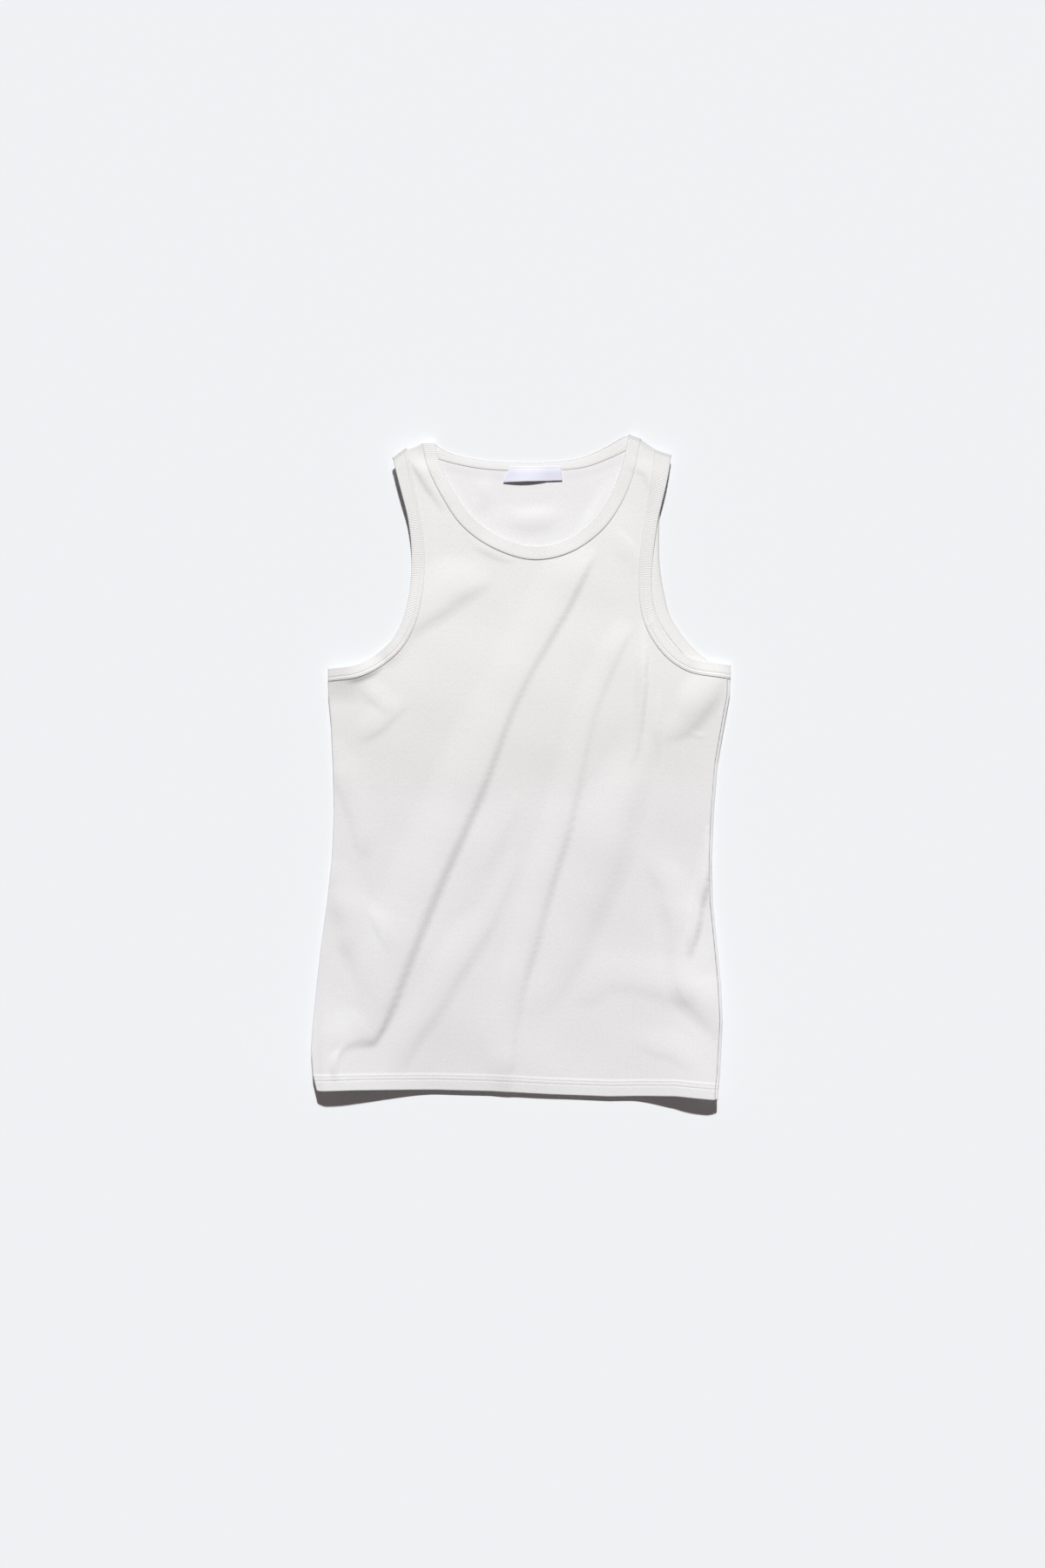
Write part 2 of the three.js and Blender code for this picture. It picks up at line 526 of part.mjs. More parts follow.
// The plan of one panel, as its four blocks: body, chest and two straps. insets are its distances from the
// outline at the sides, and heightAt its height at a place.
function panelPlan(mesh, left, right, neckSeam, insets, heightAt) {
  const rows = bodyRows(mesh.body);
  const side = (column, inset, pit) => rows.map((share) => {
    const y = mix(hemY(SIDES[0][column]), pit.y, share);
    return new THREE.Vector3(columnAt(SIDES, "y", column, y) - inset, y, 0);
  });
  const leftSide = side("left", -insets.left, left.seam[0]);
  const rightSide = side("right", insets.right, right.seam[0]);
  const { pit, chest, strap, neck, strapLength } = mesh;
  const chestRow = lineOf(left.seam[pit], right.seam[pit], 2 * strap + neck);
  const bodyTop = [
    ...left.seam.slice(0, pit),
    ...chestRow,
    ...right.seam.slice(0, pit).reverse(),
  ];
  bodyTop[0] = leftSide[rows.length - 1];
  bodyTop[bodyTop.length - 1] = rightSide[rows.length - 1];
  const first = bodyTop[0].x;
  const span = bodyTop[bodyTop.length - 1].x - first;
  const hemRow = bodyTop.map((point) => {
    const x = mix(leftSide[0].x, rightSide[0].x, (point.x - first) / span);
    return new THREE.Vector3(x, hemY(x), 0);
  });
  const strapBaseLeft = lineOf(left.seam[pit + chest], neckSeam[strapLength], strap);
  const strapBaseRight = lineOf(neckSeam[strapLength + neck], right.seam[pit + chest], strap);
  const chestTop = [
    ...strapBaseLeft.slice(0, strap),
    ...neckSeam.slice(strapLength, strapLength + neck + 1),
    ...strapBaseRight.slice(1),
  ];
  const shoulderLeft = lineOf(left.seam[left.seam.length - 1], neckSeam[0], strap);
  const shoulderRight = lineOf(neckSeam[neckSeam.length - 1], right.seam[right.seam.length - 1], strap);
  const leftChest = left.seam.slice(pit, pit + chest + 1);
  const rightChest = right.seam.slice(pit, pit + chest + 1);
  const leftNeck = neckSeam.slice(0, strapLength + 1).reverse();
  const rightNeck = neckSeam.slice(strapLength + neck);
  const plan = {
    body: fillBetween(hemRow, bodyTop, leftSide, rightSide),
    chest: fillBetween(chestRow, chestTop, leftChest, rightChest),
    leftStrap: fillBetween(strapBaseLeft, shoulderLeft, left.seam.slice(pit + chest), leftNeck),
    rightStrap: fillBetween(strapBaseRight, shoulderRight, rightNeck, right.seam.slice(pit + chest)),
  };
  for (const grid of Object.values(plan)) {
    for (const point of grid.flat()) point.z = heightAt(point.x, point.y);
  }
  return plan;
}

// Thickens a panel's hem on the inside, away from its sides.
function turnUpHem(grid) {
  const hemRows = 3;
  grid.slice(0, hemRows).forEach((row) => {
    row.slice(1, -1).forEach((point) => {
      point.innerShareExtra = HEM_PLY;
    });
  });
}

// The two ends of a turn at a place of the outline, on the front and on the back.
function turnEnds(x, y) {
  return [new THREE.Vector3(x, y, frontHeight(x, y)), new THREE.Vector3(x, y, backHeight(x, y))];
}

// Adds the turned edges at the sides to each row of a body grid. The back's right edge comes round to a seam
// on the front.
function addSideTurns(grid, panel) {
  const gapAngle = SEAM_GAP / 2 / TURN;
  const middle = Math.PI / 2;
  return grid.map((row) => {
    const leftX = row[0].x;
    const rightX = row[row.length - 1].x + (panel === "front" ? SIDE_SEAM_INSET : 0);
    const left = turnEnds(leftX, row[0].y);
    const right = turnEnds(rightX, row[row.length - 1].y);
    if (panel === "front") {
      const over = turnPoints(...left, [-1, 0], middle - gapAngle, 0, TURN_STEPS / 2);
      row[row.length - 1].facing = UP;
      return [...over.slice(0, -1), ...row];
    }
    const under = turnPoints(...left, [-1, 0], middle + gapAngle, Math.PI, TURN_STEPS / 2);
    const around = turnPoints(...right, [1, 0], Math.PI, 0, TURN_STEPS);
    const seamX = rightX - SIDE_SEAM_INSET + SEAM_GAP;
    const seam = new THREE.Vector3(seamX, right[0].y, frontHeight(seamX, right[0].y));
    seam.facing = UP;
    return [...under.slice(0, -1), ...row, ...around.slice(1), seam];
  });
}

// Adds the turned edge over a shoulder to a strap's grid, up to the shoulder seam.
function addShoulderTurn(grid, panel, outs) {
  const edge = grid[grid.length - 1];
  const gapAngle = SEAM_GAP / 2 / TURN;
  const steps = TURN_STEPS / 2;
  const columns = edge.map((point, i) => {
    const share = i / (edge.length - 1);
    const out = [mix(outs[0][0], outs[1][0], share), mix(outs[0][1], outs[1][1], share)];
    const [from, to] = panel === "front"
      ? [0, SHOULDER_SEAM - gapAngle]
      : [Math.PI, SHOULDER_SEAM + gapAngle];
    return turnPoints(...turnEnds(point.x, point.y), out, from, to, steps).slice(1);
  });
  const rows = Array.from({ length: steps }, (_, k) => columns.map((column) => column[k]));
  return [...grid, ...rows];
}

function makePanel(panel, mesh, left, right, neckSeam, insets, heightAt) {
  const plan = panelPlan(mesh, left, right, neckSeam, insets, heightAt);
  turnUpHem(plan.body);
  const leftOuts = [LEFT_SHOULDER.armSeam.out, LEFT_SHOULDER.neckSeam.out];
  const rightOuts = [RIGHT_SHOULDER.neckSeam.out, RIGHT_SHOULDER.armSeam.out];
  const grids = [
    addSideTurns(plan.body, panel),
    plan.chest,
    addShoulderTurn(plan.leftStrap, panel, leftOuts),
    addShoulderTurn(plan.rightStrap, panel, rightOuts),
  ];
  return wallOf(grids, CLOTH / 2, CLOTH / 2, panel === "front" ? 1 : -1);
}

// Places across a binding, from its free edge to its seam, and the share of its wall at each.
const BINDING_SECTION = [
  { across: 0, wall: 0.55 },
  { across: 0.1, wall: 1 },
  { across: 0.5, wall: 1 },
  { across: 0.92, wall: 1 },
  { across: 1, wall: 0.8 },
];

// One row of a binding's grid between its two edges.
function bindingRow(free, seam, lift, heightAt) {
  const seamEdge = seam.clone().lerp(free, SEAM_GAP / BINDING_WIDTH);
  return BINDING_SECTION.map(({ across, wall }) => {
    const place = free.clone().lerp(seamEdge, across);
    place.z = heightAt(place.x, place.y) + lift;
    place.outerShare = wall;
    place.innerShare = wall;
    return place;
  });
}

// Rows that carry a binding round a turn, between its last row on one panel and its first on the other.
function bindingTurn(frontRow, backRow, [freeOut, seamOut]) {
  const columns = frontRow.map((front, i) => {
    const { across, wall } = BINDING_SECTION[i];
    const out = [mix(freeOut[0], seamOut[0], across), mix(freeOut[1], seamOut[1], across)];
    const points = turnPoints(front, backRow[i], out, 0, Math.PI, TURN_STEPS).slice(1, -1);
    for (const point of points) {
      point.outerShare = wall;
      point.innerShare = wall;
    }
    return points;
  });
  return Array.from({ length: TURN_STEPS - 1 }, (_, k) => columns.map((column) => column[k]));
}

// A binding is a closed ring: the front stretch, a turn, the back stretch and the turn at its other end.
function makeBinding(front, back, firstOuts, lastOuts, facing) {
  const rowsOf = ({ free, seam, heightAt }, lift) =>
    free.map((place, k) => bindingRow(place, seam[k], lift, heightAt));
  const frontRows = rowsOf(front, FRONT_BINDING_LIFT);
  const backRows = rowsOf(back, BACK_BINDING_LIFT);
  const last = bindingTurn(frontRows[frontRows.length - 1], backRows[backRows.length - 1], lastOuts);
  const first = bindingTurn(frontRows[0], backRows[0], firstOuts);
  const rows = [...frontRows, ...last, ...backRows.reverse(), ...first.reverse(), frontRows[0]];
  return wallOf([rows], BINDING_WALL / 2, BINDING_WALL / 2, facing);
}

// The woven label hangs from the back neck binding over the seam, with its lower end arched and standing off.
function makeLabel() {
  const columns = 10;
  const rows = 5;
  const resting = BINDING_WALL + BACK_NECK_RISE + SEAM_GAP + LABEL_WALL / 2;
  const grid = Array.from({ length: rows + 1 }, (_, j) => {
    const down = 1 - j / rows;
    const width = mix(LABEL_TOP_WIDTH, LABEL_FOOT_WIDTH, down);
    return Array.from({ length: columns + 1 }, (_, i) => {
      const across = i / columns;
      const x = LABEL_MIDDLE + (across - 0.5) * width - LABEL_LEAN * down;
      const y = LABEL_TOP - LABEL_DEPTH * down + LABEL_LEAN * (across - 0.5) * down;
      const arch = Math.sin(Math.PI * clamp(across / LABEL_ARCH_SPAN, 0, 1)) * LABEL_ARCH * down;
      return new THREE.Vector3(x, y, resting - LABEL_STEP * ease(1 - down * 3) + arch);
    });
  });
  return wallOf([grid], LABEL_WALL / 2, LABEL_WALL / 2, 1);
}

const sideOuts = { left: [[-1, 0], [-1, 0]], right: [[1, 0], [1, 0]] };
const armOuts = (shoulder) => [shoulder.armFree.out, shoulder.armSeam.out];
const neckOuts = (shoulder) => [shoulder.neckFree.out, shoulder.neckSeam.out];
const frontInsets = { left: TURN + CLOTH / 2, right: TURN + CLOTH / 2 + SIDE_SEAM_INSET };
const backInsets = { left: TURN + CLOTH / 2, right: TURN + CLOTH / 2 };

const frontSeams = [arms.leftFront, arms.rightFront, necks.front.seam];
const backSeams = [arms.leftBack, arms.rightBack, necks.back.seam];
const leftOuts = armOuts(LEFT_SHOULDER);
const rightOuts = armOuts(RIGHT_SHOULDER);
const pieces = {
  front_panel: makePanel("front", FRONT_MESH, ...frontSeams, frontInsets, frontHeight),
  back_panel: makePanel("back", BACK_MESH, ...backSeams, backInsets, backHeight),
  neck_binding: makeBinding(necks.front, necks.back, neckOuts(LEFT_SHOULDER), neckOuts(RIGHT_SHOULDER), 1),
  left_armhole_binding: makeBinding(arms.leftFront, arms.leftBack, sideOuts.left, leftOuts, 1),
  right_armhole_binding: makeBinding(arms.rightFront, arms.rightBack, sideOuts.right, rightOuts, -1),
  neck_label: makeLabel(),
};

const tankTop = new THREE.Group();
for (const [name, geometry] of Object.entries(pieces)) {
  const finish = name === "neck_label" ? LABEL_SATIN : WHITE_COTTON;
  const mesh = new THREE.Mesh(geometry, new THREE.MeshStandardMaterial(finish));
  mesh.name = name;
  tankTop.add(mesh);
}

export default tankTop;
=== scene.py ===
"""A ribbed cotton tank top laid flat, front uppermost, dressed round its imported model.

Metres, except in the tables given to in_mm and folds_in_mm. +X is to the right and +Y towards the shoulders, as
seen from above, and +Z is up from the surface.
"""
from math import cos, pi, radians, sin

import bmesh
import bpy
import numpy as np
from mathutils import Matrix, Vector


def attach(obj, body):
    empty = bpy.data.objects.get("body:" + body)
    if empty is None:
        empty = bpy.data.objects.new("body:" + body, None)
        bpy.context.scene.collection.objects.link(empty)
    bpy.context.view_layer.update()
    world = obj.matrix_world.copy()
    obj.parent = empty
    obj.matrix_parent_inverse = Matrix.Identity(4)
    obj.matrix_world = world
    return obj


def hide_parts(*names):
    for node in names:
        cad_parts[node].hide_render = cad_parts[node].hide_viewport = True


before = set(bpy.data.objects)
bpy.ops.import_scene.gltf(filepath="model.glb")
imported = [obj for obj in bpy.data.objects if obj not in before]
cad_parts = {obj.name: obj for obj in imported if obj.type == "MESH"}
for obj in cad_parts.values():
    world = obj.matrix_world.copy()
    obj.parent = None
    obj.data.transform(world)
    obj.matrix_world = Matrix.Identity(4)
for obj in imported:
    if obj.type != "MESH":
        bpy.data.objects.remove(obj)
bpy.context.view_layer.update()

bl_info = {
    "name": "Ribbed tank top",
    "version": (1, 0, 0),
    "blender": (4, 5, 0),
    "location": "View3D > Sidebar > Tank top",
    "description": "Builds a rib-knit tank top, laid flat, with its bands, hem, stitching and label",
    "category": "Add Mesh",
}


def in_mm(rows):
    """An array in metres of numbers given in millimetres."""
    return np.array(rows, float) / 1000


def folds_in_mm(folds):
    """Folds in metres, given in millimetres."""
    return {name: (steep / 1000, gentle / 1000, in_mm(line)) for name, (steep, gentle, line) in folds.items()}


# Layers of the garment, as in the solid model
SOLID_WALL = 0.0012
AIR = 0.0017
TURN = 0.0016
SHOULDER_TURN = 0.0010
BAND_WIDTH = 0.014
BAND_WALL = 0.0022
SEAM_GAP = 0.0003
SIDE_SEAM_INSET = 0.0013
SHOULDER_SEAM = 0.62 * pi
SHOULDER_DROP = 0.0001  # of the front over the end of a strap, between these places along Y
SHOULDER_DROP_SPAN = (0.300, 0.335)
BACK_NECK_RISE = 0.0004  # of the back under its neckline, with the places between which it comes in
BACK_NECK_RISE_LEFT = (-0.080, -0.050)
BACK_NECK_RISE_RIGHT = (0.100, 0.070)
BACK_NECK_RISE_FOOT = (0.262, 0.304)
SEAM_SWELL = 0.0003  # of the back where its seam allowance is caught down
SEAM_SWELL_START = 0.0035
SEAM_SWELL_END = 0.0085
SEAM_ROUTE_STEPS = 8
BACK_NECK_DEPTH = 0.0095
BACK_NECK_PRESS = 0.80  # share of its thickness that the back neck's band keeps
PRESS_REACH = 0.010
BACK_LEVEL = SOLID_WALL / 2
FRONT_LEVEL = 1.5 * SOLID_WALL + AIR
BACK_BAND_LIFT = (BAND_WALL - SOLID_WALL) / 2
FRONT_BAND_LIFT = 0.0002
PIT_FREE = {"left": 0.1004, "right": 0.1044}  # height of a band's free edge at the armpit
TUCK = 0.0035  # how far a panel goes on under its band
MERGE = 2e-6  # corners of a mesh this close are one
UP = (0.0, 0.0, 1.0)

# Hem: the cloth turned up inside, and its two rows of stitches
HEM_DEPTH = 0.0148
HEM_TURN = 0.0005
HEM_SWELL = 0.0004
HEM_FADE_START = -0.0006  # of its swell, from its depth
HEM_FADE_END = 0.0030
HEM_GROOVE = 0.00022
HEM_GROOVE_REACH = 0.0006
HEM_ROWS = (0.0102, 0.0138)
HEM_STITCHES = (-0.2075, 0.2000)  # ends of the rows along X
HEM_STITCH_PLACES = 240
HEM_TURN_STEPS = 6
HEM_PLY_STEPS = 8
HEM_PLY_MARGIN = 0.001

# The woven label
LABEL_TOP_WIDTH = 0.0525
LABEL_FOOT_WIDTH = 0.061
LABEL_DEPTH = 0.0155
LABEL_MIDDLE = 0.0156
LABEL_TOP = 0.3093
LABEL_LEAN = 0.0030
LABEL_TILT = 0.0021
LABEL_ARCH = 0.0017
LABEL_ARCH_SPAN = 0.75
LABEL_TOP_LEVEL = 0.0019
LABEL_FOOT_LEVEL = 0.0024
LABEL_PLY = 0.00035
LABEL_FOLD = 0.97  # share of its depth at which it starts to turn round its foot
LABEL_STEPS = 36
LABEL_STITCH_ENDS = (0.035, 0.965)  # shares of its width
LABEL_STITCH_SPAN = (0.0006, 0.0036)  # below its top
LABEL_STITCH_PLACES = 6

# Outline from the hem to the armpits: height, left end, right end
SIDES = in_mm([
    (-334, -210, 203.5), (-318, -214.2, 205.5), (-292, -216.3, 207), (-262, -214, 208.6),
    (-225, -210.4, 206.8), (-185, -206, 203.2), (-140, -200, 198.8), (-95, -195.1, 197.8),
    (-45, -193, 200), (4, -194.2, 204), (45, -196.2, 211.2), (74, -198.8, 216.5), (89, -198.3, 216.7),
])

# Lower edge of the hem, from left to right
HEM_LINE = in_mm([
    (-210, -334.4), (-170, -333.4), (-88, -333.6), (-30, -335), (30, -338.2), (92, -340.4), (160, -339.4),
    (203.5, -343.4),
])

# Where each line turns over a shoulder: place, and the way that the turn faces
SHOULDERS = {
    "left": {
        "neck_free": ((-0.0881, 0.3329), (0.05, 1.0)),
        "neck_seam": ((-0.1020, 0.3320), (-0.15, 0.99)),
        "arm_seam": ((-0.1166, 0.3269), (-0.45, 0.89)),
        "arm_free": ((-0.1310, 0.3154), (-0.62, 0.78)),
    },
    "right": {
        "neck_free": ((0.1112, 0.3411), (0.26, 0.97)),
        "neck_seam": ((0.1241, 0.3359), (0.50, 0.87)),
        "arm_seam": ((0.1376, 0.3251), (0.50, 0.87)),
        "arm_free": ((0.1551, 0.3187), (0.31, 0.95)),
    },
}

# Seam of the front neckline, from the left shoulder to the right one
FRONT_NECK = in_mm([
    (-102, 332), (-97, 310), (-83.5, 281.3), (-61, 248), (-28.6, 224.6), (12.8, 212.4), (51.5, 220),
    (85.7, 244.4), (107.3, 276.8), (119, 309.2), (124.1, 335.9),
])

# Back neckline, from the left shoulder to the right one: free edge, seam
BACK_NECK = in_mm([
    (-88.1, 332.9, -102, 332), (-84.5, 329.6, -97.5, 323.5), (-77, 325.2, -88, 317.6),
    (-62, 320.2, -69, 311.8), (-34, 315.2, -36, 305.8), (2, 313.7, 2, 304.2), (38, 314.6, 38, 304.7),
    (64, 319, 67, 308), (85, 328, 92, 317), (99, 336, 107, 324), (107, 340.3, 118, 330),
    (111.2, 341.1, 124.1, 335.9),
])

# Armhole seams, from the armpit to the shoulder
ARM_SEAMS = {
    ("left", "front"): in_mm([
        (-196.1, 87), (-166, 91.5), (-140, 105), (-121, 123), (-108.2, 147), (-100.4, 180), (-98.5, 220),
        (-101.8, 254), (-109, 290), (-116.6, 326.9),
    ]),
    ("left", "back"): in_mm([
        (-196.1, 87), (-165, 92), (-139, 106), (-119.6, 124), (-106.6, 147), (-98.9, 180), (-97, 220),
        (-100.3, 254), (-107.6, 290), (-116.6, 326.9),
    ]),
    ("right", "front"): in_mm([
        (214.5, 89.6), (174, 96.8), (152, 110.5), (136, 130), (126.2, 151), (121.8, 178), (122.3, 212),
        (126.5, 247), (133, 288), (137.6, 325.1),
    ]),
    ("right", "back"): in_mm([
        (214.5, 89.6), (189, 98), (168, 114.8), (152.8, 132.5), (141.5, 151), (134.5, 177), (130, 205),
        (129, 233), (130, 262), (134.5, 297), (137.6, 325.1),
    ]),
}

# Shares of a seam's length at which its stretches end, and the steps in each stretch of a panel
ARM_SHARES = {"front": (0.3, 0.63), "back": (0.3, 0.9)}
FRONT_NECK_SHARES = (0.27, 0.72)
BACK_NECK_SHARES = (0.18, 0.84)
STEPS = {
    "front": {"pit": 36, "strap": 18, "neck": 72, "chest": 40, "strap_length": 56},
    "back": {"pit": 20, "strap": 9, "neck": 46, "chest": 50, "strap_length": 12},
}
BODY_ROW = 0.0022
HEM_ROW = 0.0006
HEM_ROW_MARGIN = 0.003  # by which the hem's close rows go on above it
TURN_STEPS = 12
END_DRAW = 0.3  # share of a line's length over which its ends are drawn to their places

# Folds of the front: reach on the steep side, which is to the left of the way, reach on the gentle side, and
# the way of the steep side as (x, y, height of the crest beside it)
FOLDS = folds_in_mm({
    "long diagonal": (14.5, 55, [
        (79, 222, 0), (66.8, 198, 1.8), (48.8, 162, 2.1), (28.1, 126, 1.8), (7.4, 90, 1.6),
        (-9.7, 54, 2.1), (-23.2, 18, 2.8), (-36.7, -18.5, 3.3), (-52, -54.5, 3.5), (-84.4, -126.5, 3.8),
        (-113.2, -198.5, 3.8), (-133.9, -252.5, 3.6), (-143, -272, 2.1), (-152, -288, 0)]),
    "hook at its foot": (16, 40, [
        (-134, -262, 0), (-143, -273.5, 0.9), (-152, -284, 1.6), (-169, -286, 1.4), (-179, -290, 0.9),
        (-186, -296, 0)]),
    "second diagonal": (14, 30, [
        (118, 145, 0), (107.3, 126, 0.9), (91.1, 90, 1.1), (77.6, 54, 1.1), (68.6, 18, 1.4),
        (61, -18.5, 2), (48.8, -72.5, 2.8), (37.1, -108.5, 2.9), (26.3, -144.5, 2.5), (17.3, -180.5, 2.3),
        (6.5, -216.5, 2.4), (-1.6, -252.5, 1.5), (-6.5, -285, 1.3), (-8.8, -306.5, 1.8), (-9.5, -322, 1.2),
        (-10, -345, 0)]),
    "low diagonal": (18, 30, [
        (0, -95, 0), (-12.4, -126.5, 0.9), (-27.7, -162.5, 1.1), (-38.5, -180.5, 1.4),
        (-61.9, -216.5, 1.5), (-83.5, -252.5, 1.3), (-108.7, -288.5, 1.2), (-116.8, -306.5, 0.6),
        (-122, -320, 0)]),
    "waist fold west": (34, 45, [
        (136, 30, 0), (129, 0, 1.3), (124.4, -18.5, 2.2), (113.6, -54.5, 3.3), (104.6, -90.5, 3.6),
        (92.9, -126.5, 2.8), (76.7, -162.5, 1.8), (61.4, -198.5, 1.2), (40, -235, 0.8), (20, -262, 0)]),
    "waist fold east": (27, 36, [
        (205, -284, 0), (193.7, -269.5, 1.2), (179.5, -252.5, 2.6), (168, -241, 3.1), (161, -228, 2.9),
        (159, -212, 2.5), (157.7, -198.5, 2.2), (155, -180.5, 2), (153.2, -162.5, 2.4), (147.8, -144.5, 2),
        (144.2, -126.5, 1.3), (134.3, -108.5, 0.5), (128, -90, 0)]),
    "hip shelf": (26, 40, [
        (176, -244, 0), (165, -242.5, 0.8), (155, -241.5, 1.1), (141.5, -236, 0.8), (110, -229, 0.5),
        (92, -230, 0.5), (74, -241.6, 0.5), (52, -246, 0)]),
    "right armpit fold": (22, 30, [
        (213.5, 98, 0.6), (209.9, 89.6, 2), (202.7, 71.6, 2.7), (189.2, 53.6, 2.6), (177, 39, 1.6),
        (162.2, 30, 0.7), (150, 27.5, 0.3), (141.5, 26.5, 0)]),
    "right edge crease": (10, 10, [
        (196.5, -70, 0.4), (196, -98.5, 2.6), (191.9, -126.5, 3.7), (187.4, -144.5, 3),
        (184.7, -162.5, 2.8), (180.2, -180.5, 2.2), (177, -196, 0)]),
    "left waist fold": (14, 30, [
        (-164, -95, 0), (-169, -82, 0.8), (-176, -54.5, 0.9), (-182.5, -36.5, 0.9), (-190, -18, 1),
        (-192.5, -9.5, 1), (-196, 4, 0.5)]),
    "left hip fold": (24, 36, [
        (-163, -235, 0), (-169, -216.5, 1), (-175, -198.5, 1.8), (-183.4, -180.5, 2.2), (-186, -162.5, 2),
        (-192.4, -144.5, 1.6), (-196, -125, 0.6)]),
    "chest fold": (22, 45, [
        (-26, 192, 0), (-38.5, 184, 0.8), (-61, 171.5, 1.7), (-79, 158, 1.8), (-97, 147, 1.5),
        (-115, 132.8, 1.1), (-128.5, 114.8, 1.7), (-136, 102, 0)]),
    "armhole drop": (5.5, 12, [
        (129, 150, 0), (129.6, 118, 1.7), (129.8, 100, 2.4), (128.9, 71.6, 2.3), (127.1, 53.6, 1.9),
        (121.7, 17.6, 0.8), (116, 0, 0)]),
    "left armpit puff": (10, 20, [
        (-138, 106, 0), (-146.5, 99, 1.4), (-155, 94, 2), (-169, 88.7, 1.6), (-180, 86, 0)]),
    "left strap fold": (11, 16, [
        (-80, 262, 0), (-90, 277, 1), (-98, 288, 1.5), (-105.8, 301, 1.7), (-112.5, 311, 0.8),
        (-117, 319, 0)]),
    "storage crease": (110, 110, [
        (200, 28.4, 1), (92, 15.8, 1.8), (2, 12.2, 2), (-106, 11.3, 1.8), (-194, 10.4, 1)]),
})

# Finer creases, in the same form, that the solid model leaves out
CREASES = folds_in_mm({
    "tail of the hook": (6, 8, [
        (-180.5, -290.5, 0), (-186.5, -300, 1.1), (-188.5, -311, 1.3), (-187, -323, 0)]),
    "line by the armhole drop": (6, 7, [
        (144.2, 84, 0), (145.1, 54, 0.7), (144.2, 35.6, 0.8), (144.2, 17.6, 0.4), (143, 0, 0)]),
    "thin crease at the right": (2, 6, [
        (168.5, 38, 0), (182, 34, 0.3), (195.5, 30, 0)]),
    "streak under the left arm": (15, 24, [
        (-112, 66, 0), (-126.5, 53, 0.6), (-143.5, 37, 0.9), (-155.5, 29.3, 0.6), (-166, 24, 0)]),
    "dent under the left arm": (12, 20, [
        (-136, 52, 0), (-145, 60, 0.6), (-156, 69, 0.7), (-167, 81, 0)]),
    "right strap fold": (10, 16, [
        (126, 262, 0), (132, 283, 0.5), (126, 300, 0.5), (108, 307, 0)]),
    "fold below the right strap": (12, 20, [
        (96, 247, 0), (113, 232, 0.4), (121.5, 214, 0.3), (119, 196, 0)]),
    "neck fold": (10, 18, [
        (-6, 208.5, 0), (-18, 212, 0.4), (-30, 216.5, 0.6), (-42, 222.5, 0.5), (-50, 228, 0)]),
    "low right streak": (16, 26, [
        (178, -314, 0), (168.5, -309, 0.3), (155, -301, 0.5), (141.5, -297.5, 0.5), (128, -292, 0.3),
        (112, -286, 0)]),
    "left hip ripple": (10, 20, [
        (-138, -192, 0), (-143, -180.5, 0.5), (-152, -162.5, 0.7), (-160, -147, 0)]),
    "middle swell": (20, 36, [
        (4, -30, 0), (-20, -80, 1), (-36, -120, 0.9), (-58, -160, 0)]),
})

# Soft folds of the back inside the neck, in the same form
BACK_FOLDS = folds_in_mm({
    "inside the neck left": (8, 12, [
        (-48, 262, 0), (-43, 276, 0.8), (-41, 292, 0.8), (-40, 300, 0)]),
    "inside the neck right": (12, 10, [
        (58, 236, 0), (66, 252, 0.9), (78, 272, 0.8), (90, 296, 0)]),
    "inside the neck middle": (20, 16, [
        (44, 262, 0), (30, 250, 0.8), (4, 246, 0.9), (-20, 256, 0)]),
})

# Corners and edges that stand up off the surface: start and full place along X, foot and head along Y,
# height, start and end of the drop at the tip, and its share
LIFTS = [
    (-0.085, -0.195, -0.100, -0.336, 0.0097, -0.200, -0.212, 0.3),
    (0.110, 0.185, -0.115, -0.336, 0.0097, 0.192, 0.204, 0.2),
    (-0.148, -0.182, 0.062, 0.092, 0.0034, -0.190, -0.198, 0.1),
]
# Outer edges of the straps, in the same form up to the height, which lie level again at the shoulder
STRAP_LIFTS = [
    (-0.084, -0.128, 0.140, 0.325, 0.0076),
    (0.108, 0.155, 0.140, 0.320, 0.0052),
]
LIFT_LIMIT = 1.2
LIFT_CURL = 1.8

# Waves of the uneven cloth: how fast each goes round along X and along Y, and where it starts
RIPPLE_WAVES = ((34, 11, 0.3), (-23, 41, 1.9), (61, 27, 4.1), (17, -71, 2.6), (88, -35, 0.9), (45, 96, 5.2))

LIGHT_FALLOFF_START = -0.08  # places along Y between which the jersey's colour grades, as painted light that is lighter towards the shoulders
LIGHT_FALLOFF_END = 0.26
LIGHT_FALLOFF_MIDDLE = 0.55

# Noises in the cloth's lightness, for uneven loops and for wider patches: scale, darkest and lightest tone
GRAIN = (560, 0.967, 1.020)
PATCHES = (14, 0.985, 1.0)
NOISE_SPAN = (0.3, 0.7)  # values of a noise that count as its ends
BLUE_LOSS = 1.3  # of a mottle's darker colour, for each share of red and green

FOLD_STEPS = 5  # parts of each stretch of a fold's smooth way
FOLD_BLEND = 0.0015
FOLD_TAPER = 0.6

